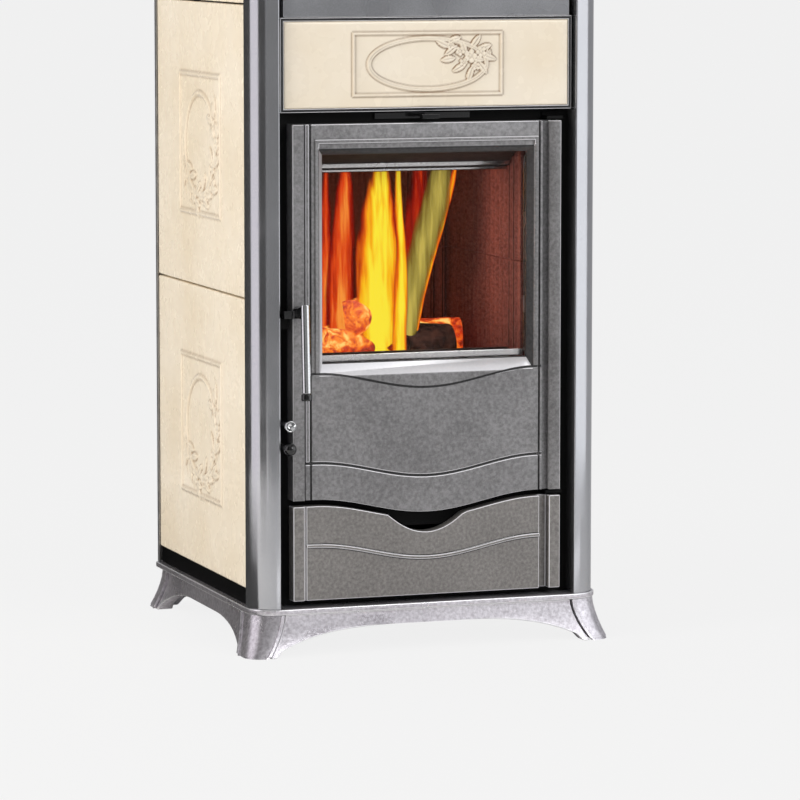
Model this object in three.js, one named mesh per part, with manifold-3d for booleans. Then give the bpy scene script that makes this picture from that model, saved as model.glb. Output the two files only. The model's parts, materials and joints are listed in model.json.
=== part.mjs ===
// A tiled wood stove: splayed cast-iron base, corner columns, glazed ceramic cladding,
// a cast door with wave mouldings over a wave-edged drawer, and the firebox inside.
// Millimetres, +Z up, the door faces -Y. Pieces are placed by their depth behind the
// columns' front face, and the finished stove is then centred over the origin, which lies
// on the floor under the middle of the whole stove.
import * as THREE from 'three';
import { mergeVertices } from 'three/addons/utils/BufferGeometryUtils.js';
import Module from 'manifold-3d';

const wasm = await Module();
wasm.setup();

// ------------------------------------------------------------------ driving dimensions
const BODY_WIDTH = 510;          // over the corner columns
const BODY_DEPTH = 486;          // columns' front face to the back sheet
const SEAT = 0.3;                // air between pieces that seat on each other

// base casting and feet
const BASE_TOP = 66;
const LEDGE_THICKNESS = 8;
const LEDGE_OUT = 4;             // ledge beyond the body, all round
const LEDGE_REAR_ROUND = 10;     // its rear corners; the front ones follow the columns
const FOOT_SPLAY_SIDE = 14;      // how far a foot's corner runs out sideways
const FOOT_SPLAY_FRONT = 14;     // and to the front or rear
const FOOT_FACE = 46;            // a foot's width seen from the front, under the ledge
const FOOT_FLANK = 62;           // and from the side
const FOOT_TAPER = 12;           // both get this much narrower at the floor
const FOOT_WALL = 12;
const FOOT_BEAD = 4;             // raised edge of a foot beside its seam: its width
const FOOT_BEAD_RELIEF = 2.2;    // and how far it stands out
const FOOT_PAD = 3;              // thin pad under the foot
const PAD_INSET = 1.5;
const FLARE_POWER = 1.6;         // shape of the outward sweep of feet and aprons
const APRON_WALL = 10;
const APRON_BACKSET = 4;         // apron behind the faces of the feet
const APRON_GAP = 2;             // open seam between an apron and a foot
const ARCH_RISE = 38;            // underside of the aprons at mid span
const ARCH_POWER = 3.5;

// corner columns and ceramic side cladding
const COLUMN_RADIUS = 38;
const COLUMN_SHEET = 2;
const COLUMN_FLANGE = 16;
const RAIL_HEIGHT = 24;          // dark rail that carries the side tiles
const RAIL_BACKSET = 3;
const TILE_THICKNESS = 14;
const TILE_BACKSET = 2;          // side tiles behind the columns' sides
const TILE_EDGE = 2.5;           // rounded rim of a tile
const TILE_JOINT = 2.5;
const TILE_COLUMN_JOINT = 6;     // dark joint between column and tile
const TOP_TILE_HEIGHT = 103;     // the two courses below it share the rest
const BACK_RETURN = 7.5;         // folded side edge of the back sheet

// relief on the tiles
const RELIEF = 2.2;
const SQUARE_SIDE = 204;         // square moulding on a side tile
const WREATH_RADIUS = 72;
const MOULDING_WIDTH = 6;
const WREATH_WIDTH = 8;
const BAND_FRAME_WIDTH = 222;    // rectangle and oval on the front band
const BAND_FRAME_HEIGHT = 90;
const BAND_OVAL_WIDTH = 172;
const BAND_OVAL_HEIGHT = 70;

// front plate, band and upper panel
const PLATE_DEPTH = 34;          // front plate behind the columns' front face
const PLATE_THICKNESS = 4;
const PLATE_SIDE_GAP = 9;
const PLATE_LAND = 7;            // front plate inside the rope seal
const BAND_SIDE_GAP = 9;         // between the band and the columns
const BAND_GAP = 21.5;           // between the door and the band
const BAND_HEIGHT = 119;
const BAND_DEPTH = 8;            // band and panel faces behind the columns' front
const TRIM = 5;                  // metal edge round the band
const TRIM_BACKSET = 1;
const CARRIER_SHEET = 2;
const PANEL_SIDE_GAP = 8;
const PANEL_HEIGHT = 121.6;
const PANEL_SHEET = 2;
const PANEL_SLOTS = 15;
const PANEL_SLOT_WIDTH = 7;
const PANEL_SLOT_PITCH = 22;
const PANEL_SLOT_TOP = 28;       // plain panel above the slots
const PANEL_SLOT_FOOT = 47.6;    // and below them

// door
const DOOR_SIDE_GAP = 19.5;      // dark gap between the door and the columns
const DOOR_HEIGHT = 543;         // over the lowest point of its wave-shaped lower edge
const DOOR_FACE = 9;             // panel face behind the columns' front
const DOOR_SEAT_GAP = 3;         // between the door and the front plate
const STILE_WIDTH = 16.5;
const STILE_RELIEF = 4;
const WAVE_RISE = 23.5;          // crest over trough of every wave line
const WAVE_MARGIN = 32.5;        // crests this far inside the door's edges
const SILL_WAVE_DROP = 37;       // trough of the upper wave line under the window
const PANEL_WAVE_RISE = 51;      // lower wave line over the door's lower edge
const GROOVE_WIDTH = 3.4;
const GROOVE_DEPTH = 3;
const WINDOW_SIDE = 47.5;        // window inside the door's edges
const WINDOW_HEAD = 43;          // and below its top
const WINDOW_HEIGHT = 288;
const WINDOW_BEVEL = 8;          // splay of the window's sides and head
const SILL_BEVEL = 17;           // deeper splay of its sill
const FRAME_SIDE = 14;           // raised moulding round the window: outer edge at the sides
const FRAME_HEAD = 22;           // and over the window's head
const FRAME_WIDTH = 6;
const FRAME_RELIEF = 2.5;
const GLASS_THICKNESS = 4;
const GLASS_LAP = 9;
const GLASS_PLAY = 1;
const REBATE = 7;                // shoulder that the glass rests against, before the door's back
const GLASS_LAND = 4;            // straight rear edge of the window opening
const GLASS_STRIP = 2;           // steel strips that clamp the glass
const STRIP_SHORT = 6;           // strips end this far inside the window's ends
const MILLED_EDGE = 3;           // thin grooves inside the left stile
const HINGE_GROOVE = 16;         // wide groove inside the hinge-side stile
const HINGE_GROOVE_DEPTH = 6;
const HINGE_RIDGE = 3;           // thin ridge that stands in it, and its distance inwards
const CASTING_SKIN = 8;          // door casting is hollowed behind its lower panel
const CASTING_RIB = 12;          // rim left round that hollow
const GASKET_SIDE = 21.5;        // rope seal inside the door's edges
const GASKET_FOOT = 30;
const GASKET_HEAD = 17;
const GASKET_WIDTH = 9;
const GASKET_GROOVE = 4;
const GASKET_BEND = 18;
const PIVOT_INSET = 7.5;         // hinge and spindle axes inside the door's edges
const HINGE_BEHIND = 10;         // hinge axis behind the door's face
const PIN_RADIUS = 4;
const PIN_PLAY = 0.4;
const PIN_REACH = 16;
const PIN_SPACE = 2;             // bore beyond the pin's tip
const BRACKET_THICKNESS = 4;
const BRACKET_HALF = 12;
const BRACKET_FLANGE = 10;       // upright fixing flange of a hinge bracket
const HINGE_PLAY = 2;            // air between a bracket and the door

// latch handle
const SPINDLE_RISE = 74;         // spindle over the window's sill
const SPINDLE_RADIUS = 5.5;
const SPINDLE_PLAY = 0.5;
const HUB_RADIUS = 8.5;
const HUB_LENGTH = 16;
const HUB_FRONT = 12;            // hub in front of the columns
const ROD_RADIUS = 6;
const ROD_TOP_OUT = 20;          // rod in front of the columns at its top
const ROD_BOTTOM_OUT = 42;       // and at its lower end
const ROD_ABOVE = 12;
const ROD_BELOW = 108;
const ROD_LEAN = 3;              // lower end further out sideways
const CAP_RADIUS = 7.6;
const CAP_LENGTH = 10;
const LATCH_HEIGHT = 8;
const LATCH_FRONT = 8;           // latch arm in front of the columns' front face
const LATCH_ARM = 7;             // its thickness
const TONGUE_OUT = 24;           // tongue's outer edge from the spindle axis
const TONGUE_WIDTH = 8;
const TONGUE_END = 12;           // air between the tongue's end and the front plate
const KEEPER_WIDTH = 12;
const KEEPER_LENGTH = 21.7;
const KEEPER_GAP = 2;            // tongue above the keeper
const KEEPER_HEIGHT = 14;
const KEEPER_FOOT = 3;           // its fixing plate
const KEEPER_LAP = 12;           // fixing plate beyond the keeper, above and below

// air controls and grate shaker
const SLIDE_RISE = 9;            // air slide over the door's top
const SLIDE_HALF = 70;
const SLIDE_HEIGHT = 9;
const SLIDE_SHEET = 3;
const LEVER_NECK = 8;
const LEVER_WIDTH = 25;
const LEVER_HEIGHT = 6;
const LEVER_OUT = 6;
const PORT_DEPTH = 110;          // air port in the left wall of the firebox
const PORT_RADIUS = 12;
const FLAP_LENGTH = 40;          // flap that covers the port
const FLAP_HEIGHT = 32;
const FLAP_SHEET = 3;
const AIR_SLOTS = 4;
const AIR_SLOT_PITCH = 32;
const AIR_SLOT_WIDTH = 16;
const AIR_SLOT_HEIGHT = 5;
const PULL_OFFSET = 9.5;         // both pull rods, outside the door's left edge
const SHAKER_DROP = 51;          // shaker rod under the hearth's top
const PULL_PITCH = 32;           // air rod under the shaker rod
const PULL_RADIUS = 3.5;
const PULL_PLAY = 0.7;
const PULL_START = 2;            // rods' front ends in front of the columns
const PULL_OUT = 10;             // knobs in front of the columns
const CUP_RADIUS = 8;
const CUP_RIM = 5;
const BALL_RADIUS = 9;

// drawer
const DRAWER_GAP = 8.5;          // between the two wave edges
const DRAWER_LIFT = 9;           // over the base
const DRAWER_HEIGHT = 108.5;     // at the lowest point of its wave edge
const DRAWER_FACE = 7;
const DRAWER_BACK_GAP = 7;       // between its front and the front plate
const DRAWER_GROOVE = 14;        // deep groove inside its right stile
const DRAWER_GROOVE_DEPTH = 12;
const DRAWER_STILE = 2;          // its stiles stand out this far
const DRAWER_BEAD = 55.5;        // bead line below the wave edge
const BEAD_WIDTH = 5;
const BEAD_RELIEF = 2.4;
const NOTCH_HALF = 58;           // finger notch that the wave edge runs smoothly into
const NOTCH_DEPTH = 19.5;
const TRAY_SIDE_GAP = 11;
const TRAY_REAR_GAP = 24.7;
const TRAY_HEIGHT = 78;
const TRAY_LIFT = 9;             // tray's floor over the drawer's lower edge
const TRAY_SHEET = 1.6;
const TRAY_PLAY = 4;             // air round the tray in the front plate
const RUNNER_WIDTH = 24;
const RUNNER_THICKNESS = 4;

// firebox
const SIDE_AIR = 75;             // columns' sides to the firebox
const REAR_AIR = 100;            // back sheet to the firebox
const HEAD_AIR = 71;             // cladding's top to the firebox
const STEEL = 4;
const ASH_FLOOR_RISE = 44;       // ash floor over the drawer's tray
const LINING_THICKNESS = 25;
const LINING_FRONT = 60;
const REAR_LINING_THICKNESS = 40;
const LINING_COURSE = 161;
const RIB_PITCH = 18;
const RIB_DEPTH = 6;
const HEARTH_DROP = 31;          // hearth under the window's sill
const HEARTH_THICKNESS = 8;
const HEARTH_FRAME = 12;
const GRATE_SIDE = 66;           // grate inside the firebox
const GRATE_FRONT = 112;
const GRATE_LENGTH = 180;
const GRATE_THICKNESS = 8;
const GRATE_STROKE = 20;
const GRATE_SLOTS = 9;
const GRATE_SLOT = 8;
const GRATE_PITCH = 18;
const GRATE_RIM = 20;
const GRATE_PLAY = 2;            // pocket beyond the grate at the ends of its stroke
const GRATE_LAP = 14;            // shelf that carries the grate's edges
const SHAKER_ARM = 25;           // shaker's riser inside the grate's edge
const BAFFLE_THICKNESS = 20;
const BAFFLE_FRONT = 110;
const BAFFLE_PLAY = 1;
const RETAINER_DEPTH = 84;
const RETAINER_HEIGHT = 38;
const RETAINER_SHEET = 6;
const RETAINER_FOOT = 22;
const RETAINER_PLAY = 3;
const PAN_SIDE_GAP = 46;
const PAN_FRONT = 60;
const PAN_REAR_GAP = 32;
const PAN_HEIGHT = 80;

// top, flue and air inlet
const TOP_THICKNESS = 30;
const TOP_OUT = 13;
const TOP_ROUND = 5;             // upper edge of the top plate
const FLUE_RADIUS = 75;
const FLUE_WALL = 3;
const FLUE_FLANGE = 14;
const FLUE_FLANGE_SHEET = 4;
const FLUE_FROM_REAR = 96;       // flue axis before the firebox's rear
const FLUE_RISE = 22;
const INLET_RADIUS = 40;
const INLET_WALL = 2;
const INLET_FLANGE = 12;
const INLET_REACH = 30;
const INLET_Z = 150;
const LOUVRE_WIDTH = 150;
const LOUVRE_HEIGHT = 8;
const LOUVRE_PITCH = 22;
const LOUVRE_GAP = 60;           // between the two rows of louvres
const LOWER_LOUVRES = 5;
const UPPER_LOUVRES = 7;
const LOWER_LOUVRE_RISE = 210;   // lowest louvre over the base
const UPPER_LOUVRE_DROP = 60;    // highest one under the cladding's top

// ------------------------------------------------------------------ derived places
const HALF = BODY_WIDTH / 2;
const DOOR_WIDTH = BODY_WIDTH - 2 * (COLUMN_RADIUS + DOOR_SIDE_GAP);
const DOOR_HALF = DOOR_WIDTH / 2;
const DOOR_BACK = PLATE_DEPTH - DOOR_SEAT_GAP;
const BAND_WIDTH = BODY_WIDTH - 2 * (COLUMN_RADIUS + BAND_SIDE_GAP);
const PANEL_WIDTH = BODY_WIDTH - 2 * (COLUMN_RADIUS + PANEL_SIDE_GAP);
const PLATE_BACK = PLATE_DEPTH + PLATE_THICKNESS;
const FOOT_TOP = BASE_TOP - LEDGE_THICKNESS - SEAT;

const DRAWER_BOTTOM = BASE_TOP + DRAWER_LIFT;
const DRAWER_TOP = DRAWER_BOTTOM + DRAWER_HEIGHT;
const DRAWER_BACK = PLATE_DEPTH - DRAWER_BACK_GAP;
const DOOR_BOTTOM = DRAWER_TOP + DRAWER_GAP;
const DOOR_TOP = DOOR_BOTTOM + DOOR_HEIGHT;
const WINDOW_TOP = DOOR_TOP - WINDOW_HEAD;
const WINDOW_BOTTOM = WINDOW_TOP - WINDOW_HEIGHT;
const WINDOW_HALF = DOOR_HALF - WINDOW_SIDE;
const GLASS_HALF = WINDOW_HALF + GLASS_LAP;
const REBATE_DEPTH = DOOR_BACK - REBATE;
const WAVE_REACH = DOOR_HALF - WAVE_MARGIN;
const SILL_WAVE = WINDOW_BOTTOM - SILL_WAVE_DROP;
const PANEL_WAVE = DOOR_BOTTOM + PANEL_WAVE_RISE;
const GASKET_OUT = DOOR_HALF - GASKET_SIDE;
const GASKET_BOTTOM = DOOR_BOTTOM + GASKET_FOOT;
const GASKET_TOP = DOOR_TOP - GASKET_HEAD;
const HINGE_X = DOOR_HALF - PIVOT_INSET;
const HINGE_DEPTH = DOOR_FACE + HINGE_BEHIND;
const SPINDLE_X = -DOOR_HALF + PIVOT_INSET;
const SPINDLE_Z = WINDOW_BOTTOM + SPINDLE_RISE;
const SLIDE_Z = DOOR_TOP + SLIDE_RISE;
const BAND_BOTTOM = DOOR_TOP + BAND_GAP;
const PANEL_LOW = BAND_BOTTOM + BAND_HEIGHT + TRIM + 3 * SEAT;

const CLADDING_TOP = PANEL_LOW + PANEL_HEIGHT;
const RAIL_TOP = BASE_TOP + RAIL_HEIGHT;
const TILE_HEIGHT = (CLADDING_TOP - RAIL_TOP - TOP_TILE_HEIGHT) / 2 - TILE_JOINT;
const TILE_FRONT = COLUMN_RADIUS + TILE_COLUMN_JOINT;
const TILE_REAR = BODY_DEPTH - BACK_RETURN - SEAT;
const TILE_WIDTH = TILE_REAR - TILE_FRONT;

const FIREBOX_HALF = HALF - SIDE_AIR;
const FIREBOX_IN = FIREBOX_HALF - STEEL;
const FIREBOX_REAR = BODY_DEPTH - REAR_AIR;
const FIREBOX_TOP = CLADDING_TOP - HEAD_AIR;
const LINING_FACE = FIREBOX_IN - SEAT - LINING_THICKNESS;
const REAR_LINING_BACK = FIREBOX_REAR - STEEL - SEAT;
const REAR_LINING_FACE = REAR_LINING_BACK - REAR_LINING_THICKNESS;
const HEARTH_TOP = WINDOW_BOTTOM - HEARTH_DROP;
const LINING_TOP = HEARTH_TOP + 2 * (LINING_COURSE + SEAT);
const GRATE_HALF = FIREBOX_IN - GRATE_SIDE;
const TRAY_FLOOR = DRAWER_BOTTOM + TRAY_LIFT;
const TRAY_HALF = FIREBOX_IN - TRAY_SIDE_GAP;
const TRAY_REAR = FIREBOX_REAR - STEEL - TRAY_REAR_GAP;
const ASH_FLOOR = TRAY_FLOOR + TRAY_HEIGHT + ASH_FLOOR_RISE;
const PAN_HALF = FIREBOX_IN - PAN_SIDE_GAP;
const PAN_REAR = FIREBOX_REAR - STEEL - PAN_REAR_GAP;
const PULL_X = -DOOR_HALF - PULL_OFFSET;
const SHAKER_Z = HEARTH_TOP - SHAKER_DROP;
const PRIMARY_Z = SHAKER_Z - PULL_PITCH;
const FLUE_DEPTH = FIREBOX_REAR - FLUE_FROM_REAR;

// ------------------------------------------------------------------ materials
const paint = (color, roughness, metalness) =>
  new THREE.MeshStandardMaterial({ color, roughness, metalness });
const castIron = paint('#6f6e70', 0.6, 0.5);
const paleIron = paint('#8c898e', 0.55, 0.5);
const columnPaint = paint('#7d7f80', 0.4, 0.6);
const sheetBlack = paint('#151515', 0.7, 0.3);
const steel = paint('#8f9092', 0.35, 0.9);
const galvanised = paint('#9a9c9e', 0.5, 0.8);
const glaze = paint('#ead9bb', 0.25, 0.0);
const chrome = paint('#d9dadb', 0.12, 1.0);
const bakelite = paint('#0c0c0d', 0.3, 0.0);
const refractory = paint('#4a2a26', 0.9, 0.0);
const rope = paint('#3a3a38', 1.0, 0.0);
const clearGlass = new THREE.MeshStandardMaterial({
  color: '#b9b2a6', roughness: 0.05, metalness: 0, transparent: true, opacity: 0.35,
});

// ------------------------------------------------------------------ geometry helpers
function toSolid(geometry) {
  const bare = geometry.clone();
  bare.deleteAttribute('normal');
  bare.deleteAttribute('uv');
  const merged = mergeVertices(bare, 1e-4);
  return new wasm.Manifold(new wasm.Mesh({
    numProp: 3,
    vertProperties: new Float32Array(merged.attributes.position.array),
    triVerts: new Uint32Array(merged.index.array),
  }));
}

function toGeometry(body) {
  const mesh = body.getMesh();
  const geometry = new THREE.BufferGeometry();
  geometry.setAttribute('position', new THREE.BufferAttribute(mesh.vertProperties, 3));
  geometry.setIndex(new THREE.BufferAttribute(mesh.triVerts, 1));
  geometry.computeVertexNormals();
  return geometry;
}

function shaped(base, additions = [], cuts = []) {
  let body = toSolid(base);
  for (const piece of additions) body = body.add(toSolid(piece));
  for (const piece of cuts) body = body.subtract(toSolid(piece));
  return toGeometry(body);
}

// A box from its lowest and highest corners.
function block([x0, x1], [y0, y1], [z0, z1]) {
  const box = new THREE.BoxGeometry(x1 - x0, y1 - y0, z1 - z0);
  return box.translate((x0 + x1) / 2, (y0 + y1) / 2, (z0 + z1) / 2);
}

const shapeOf = (points) => new THREE.Shape(points.map(([x, y]) => new THREE.Vector2(x, y)));
const pathOf = (points) => new THREE.Path(points.map(([x, y]) => new THREE.Vector2(x, y)));
const rectangle = (x0, x1, y0, y1) => [[x0, y0], [x1, y0], [x1, y1], [x0, y1]];

function arcPoints(cx, cy, radius, from, to, steps) {
  const point = (a) => [cx + radius * Math.cos(a), cy + radius * Math.sin(a)];
  return Array.from({ length: steps + 1 }, (_, i) => point(from + (to - from) * i / steps));
}

const circle = (cx, cy, radius, steps) => arcPoints(cx, cy, radius, 0, 2 * Math.PI, steps).slice(1);

function withHoles(outline, holes) {
  const shape = shapeOf(outline);
  for (const hole of holes) shape.holes.push(pathOf(hole));
  return shape;
}

// A plan outline raised from z0 to z1.
function raise(shape, z0, z1) {
  const geometry = new THREE.ExtrudeGeometry(shape, { depth: z1 - z0, bevelEnabled: false });
  return geometry.translate(0, 0, z0);
}

// A front outline (x, z) made thick from depth y0 to depth y1.
function thicken(shape, y0, y1) {
  const geometry = new THREE.ExtrudeGeometry(shape, { depth: y1 - y0, bevelEnabled: false });
  return geometry.rotateX(Math.PI / 2).translate(0, y1, 0);
}

// A closed skin over rings of equal length, capped at both ends or closed on itself.
function loft(rings, closed = false) {
  const count = rings[0].length;
  const vertices = rings.flat(2);
  const faces = [];
  const spans = closed ? rings.length : rings.length - 1;
  for (let r = 0; r < spans; r++) {
    for (let i = 0; i < count; i++) {
      const a = r * count + i;
      const b = r * count + (i + 1) % count;
      const c = ((r + 1) % rings.length) * count + (i + 1) % count;
      const d = ((r + 1) % rings.length) * count + i;
      faces.push(a, b, c, a, c, d);
    }
  }
  if (!closed) {
    const flat = (ring) => {
      const u = new THREE.Vector3(...ring[1]).sub(new THREE.Vector3(...ring[0])).normalize();
      const n = ringNormal(ring);
      const v = new THREE.Vector3().crossVectors(n, u);
      const origin = new THREE.Vector3(...ring[0]);
      return ring.map((p) => {
        const offset = new THREE.Vector3(...p).sub(origin);
        return new THREE.Vector2(offset.dot(u), offset.dot(v));
      });
    };
    const last = (rings.length - 1) * count;
    for (const [a, b, c] of THREE.ShapeUtils.triangulateShape(flat(rings[0]), [])) {
      faces.push(a, c, b);
    }
    for (const [a, b, c] of THREE.ShapeUtils.triangulateShape(flat(rings.at(-1)), [])) {
      faces.push(last + a, last + b, last + c);
    }
  }
  const geometry = new THREE.BufferGeometry();
  geometry.setAttribute('position', new THREE.Float32BufferAttribute(vertices, 3));
  geometry.setIndex(faces);
  geometry.computeVertexNormals();
  return geometry;
}

// The direction that a flat ring faces when its points run anticlockwise.
function ringNormal(ring) {
  const sum = new THREE.Vector3();
  ring.forEach((p, i) => {
    const q = ring[(i + 1) % ring.length];
    sum.add(new THREE.Vector3().crossVectors(new THREE.Vector3(...p), new THREE.Vector3(...q)));
  });
  return sum.normalize();
}

function rodBetween(from, to, radius, sides = 12) {
  const a = new THREE.Vector3(...from);
  const b = new THREE.Vector3(...to);
  const rod = new THREE.CylinderGeometry(radius, radius, a.distanceTo(b), sides);
  const turn = new THREE.Quaternion().setFromUnitVectors(
    new THREE.Vector3(0, 1, 0), b.clone().sub(a).normalize());
  const middle = a.add(b).multiplyScalar(0.5);
  return rod.applyMatrix4(new THREE.Matrix4().compose(middle, turn, new THREE.Vector3(1, 1, 1)));
}

// A turned piece whose axis runs along the depth: points are [radius, depth].
function turnedAlongDepth(points, sides = 20) {
  const profile = points.map(([radius, depth]) => new THREE.Vector2(radius, depth));
  return new THREE.LatheGeometry(profile, sides);
}

const stove = new THREE.Group();
function place(parent, name, geometry, material, position = [0, 0, 0], rotation = [0, 0, 0]) {
  const mesh = new THREE.Mesh(geometry, material);
  mesh.name = name;
  mesh.position.set(...position);
  mesh.rotation.set(...rotation);
  parent.add(mesh);
  return mesh;
}

// Height of a wave line at x, given its trough height. Past the crest it runs level.
function wave(x, trough) {
  const reach = Math.min(Math.abs(x), WAVE_REACH) / WAVE_REACH;
  return trough + WAVE_RISE * (1 - Math.cos(Math.PI * reach)) / 2;
}

function waveLine(x0, x1, trough, steps = 28) {
  return Array.from({ length: steps + 1 }, (_, i) => {
    const x = x0 + (x1 - x0) * i / steps;
    return [x, wave(x, trough)];
  });
}

// Plan of the body grown by out, with rounded corners at the front and the rear.
function bodyPlan(out, round, rear = round) {
  const x = HALF + out;
  const y0 = -out;
  const y1 = BODY_DEPTH + out;
  const corner = (cx, cy, radius, from) => arcPoints(cx, cy, radius, from, from + Math.PI / 2, 5);
  return [
    ...corner(x - rear, y1 - rear, rear, 0), ...corner(-x + rear, y1 - rear, rear, Math.PI / 2),
    ...corner(-x + round, y0 + round, round, Math.PI),
    ...corner(x - round, y0 + round, round, 1.5 * Math.PI),
  ];
}

function waveRibbon(half, trough, width) {
  const lower = waveLine(-half, half, trough - width / 2);
  const upper = waveLine(-half, half, trough + width / 2).reverse();
  return shapeOf([...lower, ...upper]);
}

// ------------------------------------------------------------------ base and feet
// Sweep of the base below its ledge: 0 under the ledge, 1 on the floor.
const flare = (z) => Math.max(0, 1 - z / FOOT_TOP) ** FLARE_POWER;

// A foot carries on the rounded corner of the column above it.
function footRing(z, inset) {
  const swell = flare(z);
  const face = FOOT_FACE - FOOT_TAPER * swell - inset;
  const flank = FOOT_FLANK - FOOT_TAPER * swell - inset;
  const cornerX = -HALF - LEDGE_OUT - FOOT_SPLAY_SIDE * swell;
  const cornerY = -LEDGE_OUT - FOOT_SPLAY_FRONT * swell;
  const dip = FOOT_BEAD_RELIEF + inset;
  const centre = face - FOOT_BEAD - 1;
  const quarter = [Math.PI, 1.5 * Math.PI];
  const outline = [
    ...arcPoints(centre, centre, centre - dip, ...quarter, 6),
    [face - FOOT_BEAD, inset], [face, inset], [face, FOOT_WALL],
    ...arcPoints(centre, centre, centre - FOOT_WALL, ...quarter, 3).reverse(),
    [FOOT_WALL, flank], [inset, flank], [inset, flank - FOOT_BEAD], [dip, flank - FOOT_BEAD - 1],
  ];
  return outline.map(([x, y]) => [cornerX + x, cornerY + y, z]);
}

function footGeometry() {
  const rings = [footRing(0, PAD_INSET), footRing(FOOT_PAD, PAD_INSET), footRing(FOOT_PAD, 0)];
  const steps = 5;
  for (let i = 1; i <= steps; i++) {
    rings.push(footRing(FOOT_PAD + (FOOT_TOP - FOOT_PAD) * i / steps, 0));
  }
  return loft(rings);
}

// Mirrors a closed shape across x = 0 or across the middle of the body's depth.
function mirrored(geometry, across) {
  const copy = geometry.clone();
  if (across === 'x') copy.scale(-1, 1, 1);
  if (across === 'y') copy.scale(1, -1, 1).translate(0, BODY_DEPTH, 0);
  const index = copy.index.array;
  for (let i = 0; i < index.length; i += 3) [index[i + 1], index[i + 2]] = [index[i + 2], index[i + 1]];
  return copy;
}

// Arched cutter under an apron whose span runs from -half to half.
function archOutline(half) {
  const steps = 24;
  const line = Array.from({ length: steps + 1 }, (_, i) => {
    const u = -half + 2 * half * i / steps;
    return [u, ARCH_RISE * (1 - Math.abs(u / half) ** ARCH_POWER)];
  });
  return shapeOf([[-half, -10], ...line.slice(1, -1), [half, -10]]);
}

// One apron: a wall that sweeps outward, its ends cut to the feet's slanted edges.
function apron(halfSpan, faceAt, backAt) {
  const rings = [];
  const steps = 5;
  for (let i = 0; i <= steps; i++) {
    const z = (BASE_TOP - 2) * i / steps;
    const half = halfSpan(z);
    const front = faceAt(z);
    rings.push([[-half, front, z], [half, front, z], [half, backAt, z], [-half, backAt, z]]);
  }
  return loft(rings);
}

function baseFrame() {
  const out = HALF + LEDGE_OUT;
  const rim = APRON_WALL + COLUMN_RADIUS;
  const ledge = raise(withHoles(
    bodyPlan(LEDGE_OUT, COLUMN_RADIUS + LEDGE_OUT, LEDGE_REAR_ROUND),
    [rectangle(-HALF + rim, HALF - rim, rim, BODY_DEPTH - rim)],
  ), BASE_TOP - LEDGE_THICKNESS, BASE_TOP);
  const middle = BODY_DEPTH / 2;
  const frontFace = (z) => -LEDGE_OUT + APRON_BACKSET - FOOT_SPLAY_FRONT * flare(z);
  const frontHalf = (z) => out + (FOOT_SPLAY_SIDE + FOOT_TAPER) * flare(z) - FOOT_FACE - APRON_GAP;
  const front = apron(frontHalf, frontFace, APRON_WALL);
  const rear = mirrored(front, 'y');
  const sideFace = (z) => -out + APRON_BACKSET - FOOT_SPLAY_SIDE * flare(z);
  const sideHalf = (z) =>
    middle + LEDGE_OUT + (FOOT_SPLAY_FRONT + FOOT_TAPER) * flare(z) - FOOT_FLANK - APRON_GAP;
  const side = apron(sideHalf, sideFace, -out + APRON_BACKSET + APRON_WALL);
  const left = side.rotateZ(-Math.PI / 2).translate(0, middle, 0);
  const right = mirrored(left, 'x');
  const reach = BODY_WIDTH;
  const frontArch = thicken(archOutline(frontHalf(0)), -reach, BODY_DEPTH + reach);
  const sideArch = thicken(archOutline(sideHalf(0)), -reach, reach)
    .rotateZ(Math.PI / 2).translate(0, middle, 0);
  return shaped(ledge, [front, rear, left, right], [frontArch, sideArch]);
}

const base = new THREE.Group();
stove.add(base);
place(base, 'base_frame', baseFrame(), paleIron);
const footFrontLeft = footGeometry();
const footFrontRight = mirrored(footFrontLeft, 'x');
place(base, 'foot_front_left', footFrontLeft, paleIron);
place(base, 'foot_front_right', footFrontRight, paleIron);
place(base, 'foot_rear_left', mirrored(footFrontLeft, 'y'), paleIron);
place(base, 'foot_rear_right', mirrored(footFrontRight, 'y'), paleIron);

// ------------------------------------------------------------------ columns and cladding
function columnProfile(side) {
  const centre = HALF - COLUMN_RADIUS;
  const inner = COLUMN_RADIUS - COLUMN_SHEET;
  const start = Math.PI;
  const end = 1.5 * Math.PI;
  const innerEnd = end - Math.asin(COLUMN_SHEET / inner);
  const flangeBack = PLATE_DEPTH - SEAT;
  const points = [
    [-HALF, TILE_FRONT - SEAT],
    ...arcPoints(-centre, COLUMN_RADIUS, COLUMN_RADIUS, start, end, 10),
    [-centre, flangeBack],
    [-centre - COLUMN_FLANGE, flangeBack],
    [-centre - COLUMN_FLANGE, flangeBack - COLUMN_SHEET],
    [-centre - COLUMN_SHEET, flangeBack - COLUMN_SHEET],
    ...arcPoints(-centre, COLUMN_RADIUS, inner, innerEnd, start, 10),
    [-HALF + COLUMN_SHEET, TILE_FRONT - SEAT],
  ];
  return shapeOf(points.map(([x, y]) => [-side * x, y]));
}

function ellipseRing(halfWidth, halfHeight, width, relief, steps) {
  const rings = [];
  for (let i = 0; i < steps; i++) {
    const a = 2 * Math.PI * i / steps;
    const outward = new THREE.Vector2(halfHeight * Math.cos(a), halfWidth * Math.sin(a)).normalize();
    const section = [[-width / 2, 1], [-width / 3, -relief * 0.8], [0, -relief],
      [width / 3, -relief * 0.8], [width / 2, 1]];
    rings.push(section.map(([across, depth]) => [
      halfWidth * Math.cos(a) + outward.x * across, depth,
      halfHeight * Math.sin(a) + outward.y * across,
    ]));
  }
  return loft(rings, true);
}

// A leaf or petal, pointed at both ends and ridged; its rear half is sunk in the tile.
function leaf(x, z, length, width, angle) {
  const bud = new THREE.SphereGeometry(1, 4, 4).rotateZ(Math.PI / 2);
  bud.scale(length / 2, RELIEF, width / 2).rotateY(-angle);
  return bud.translate(x, 0, z);
}

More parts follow.
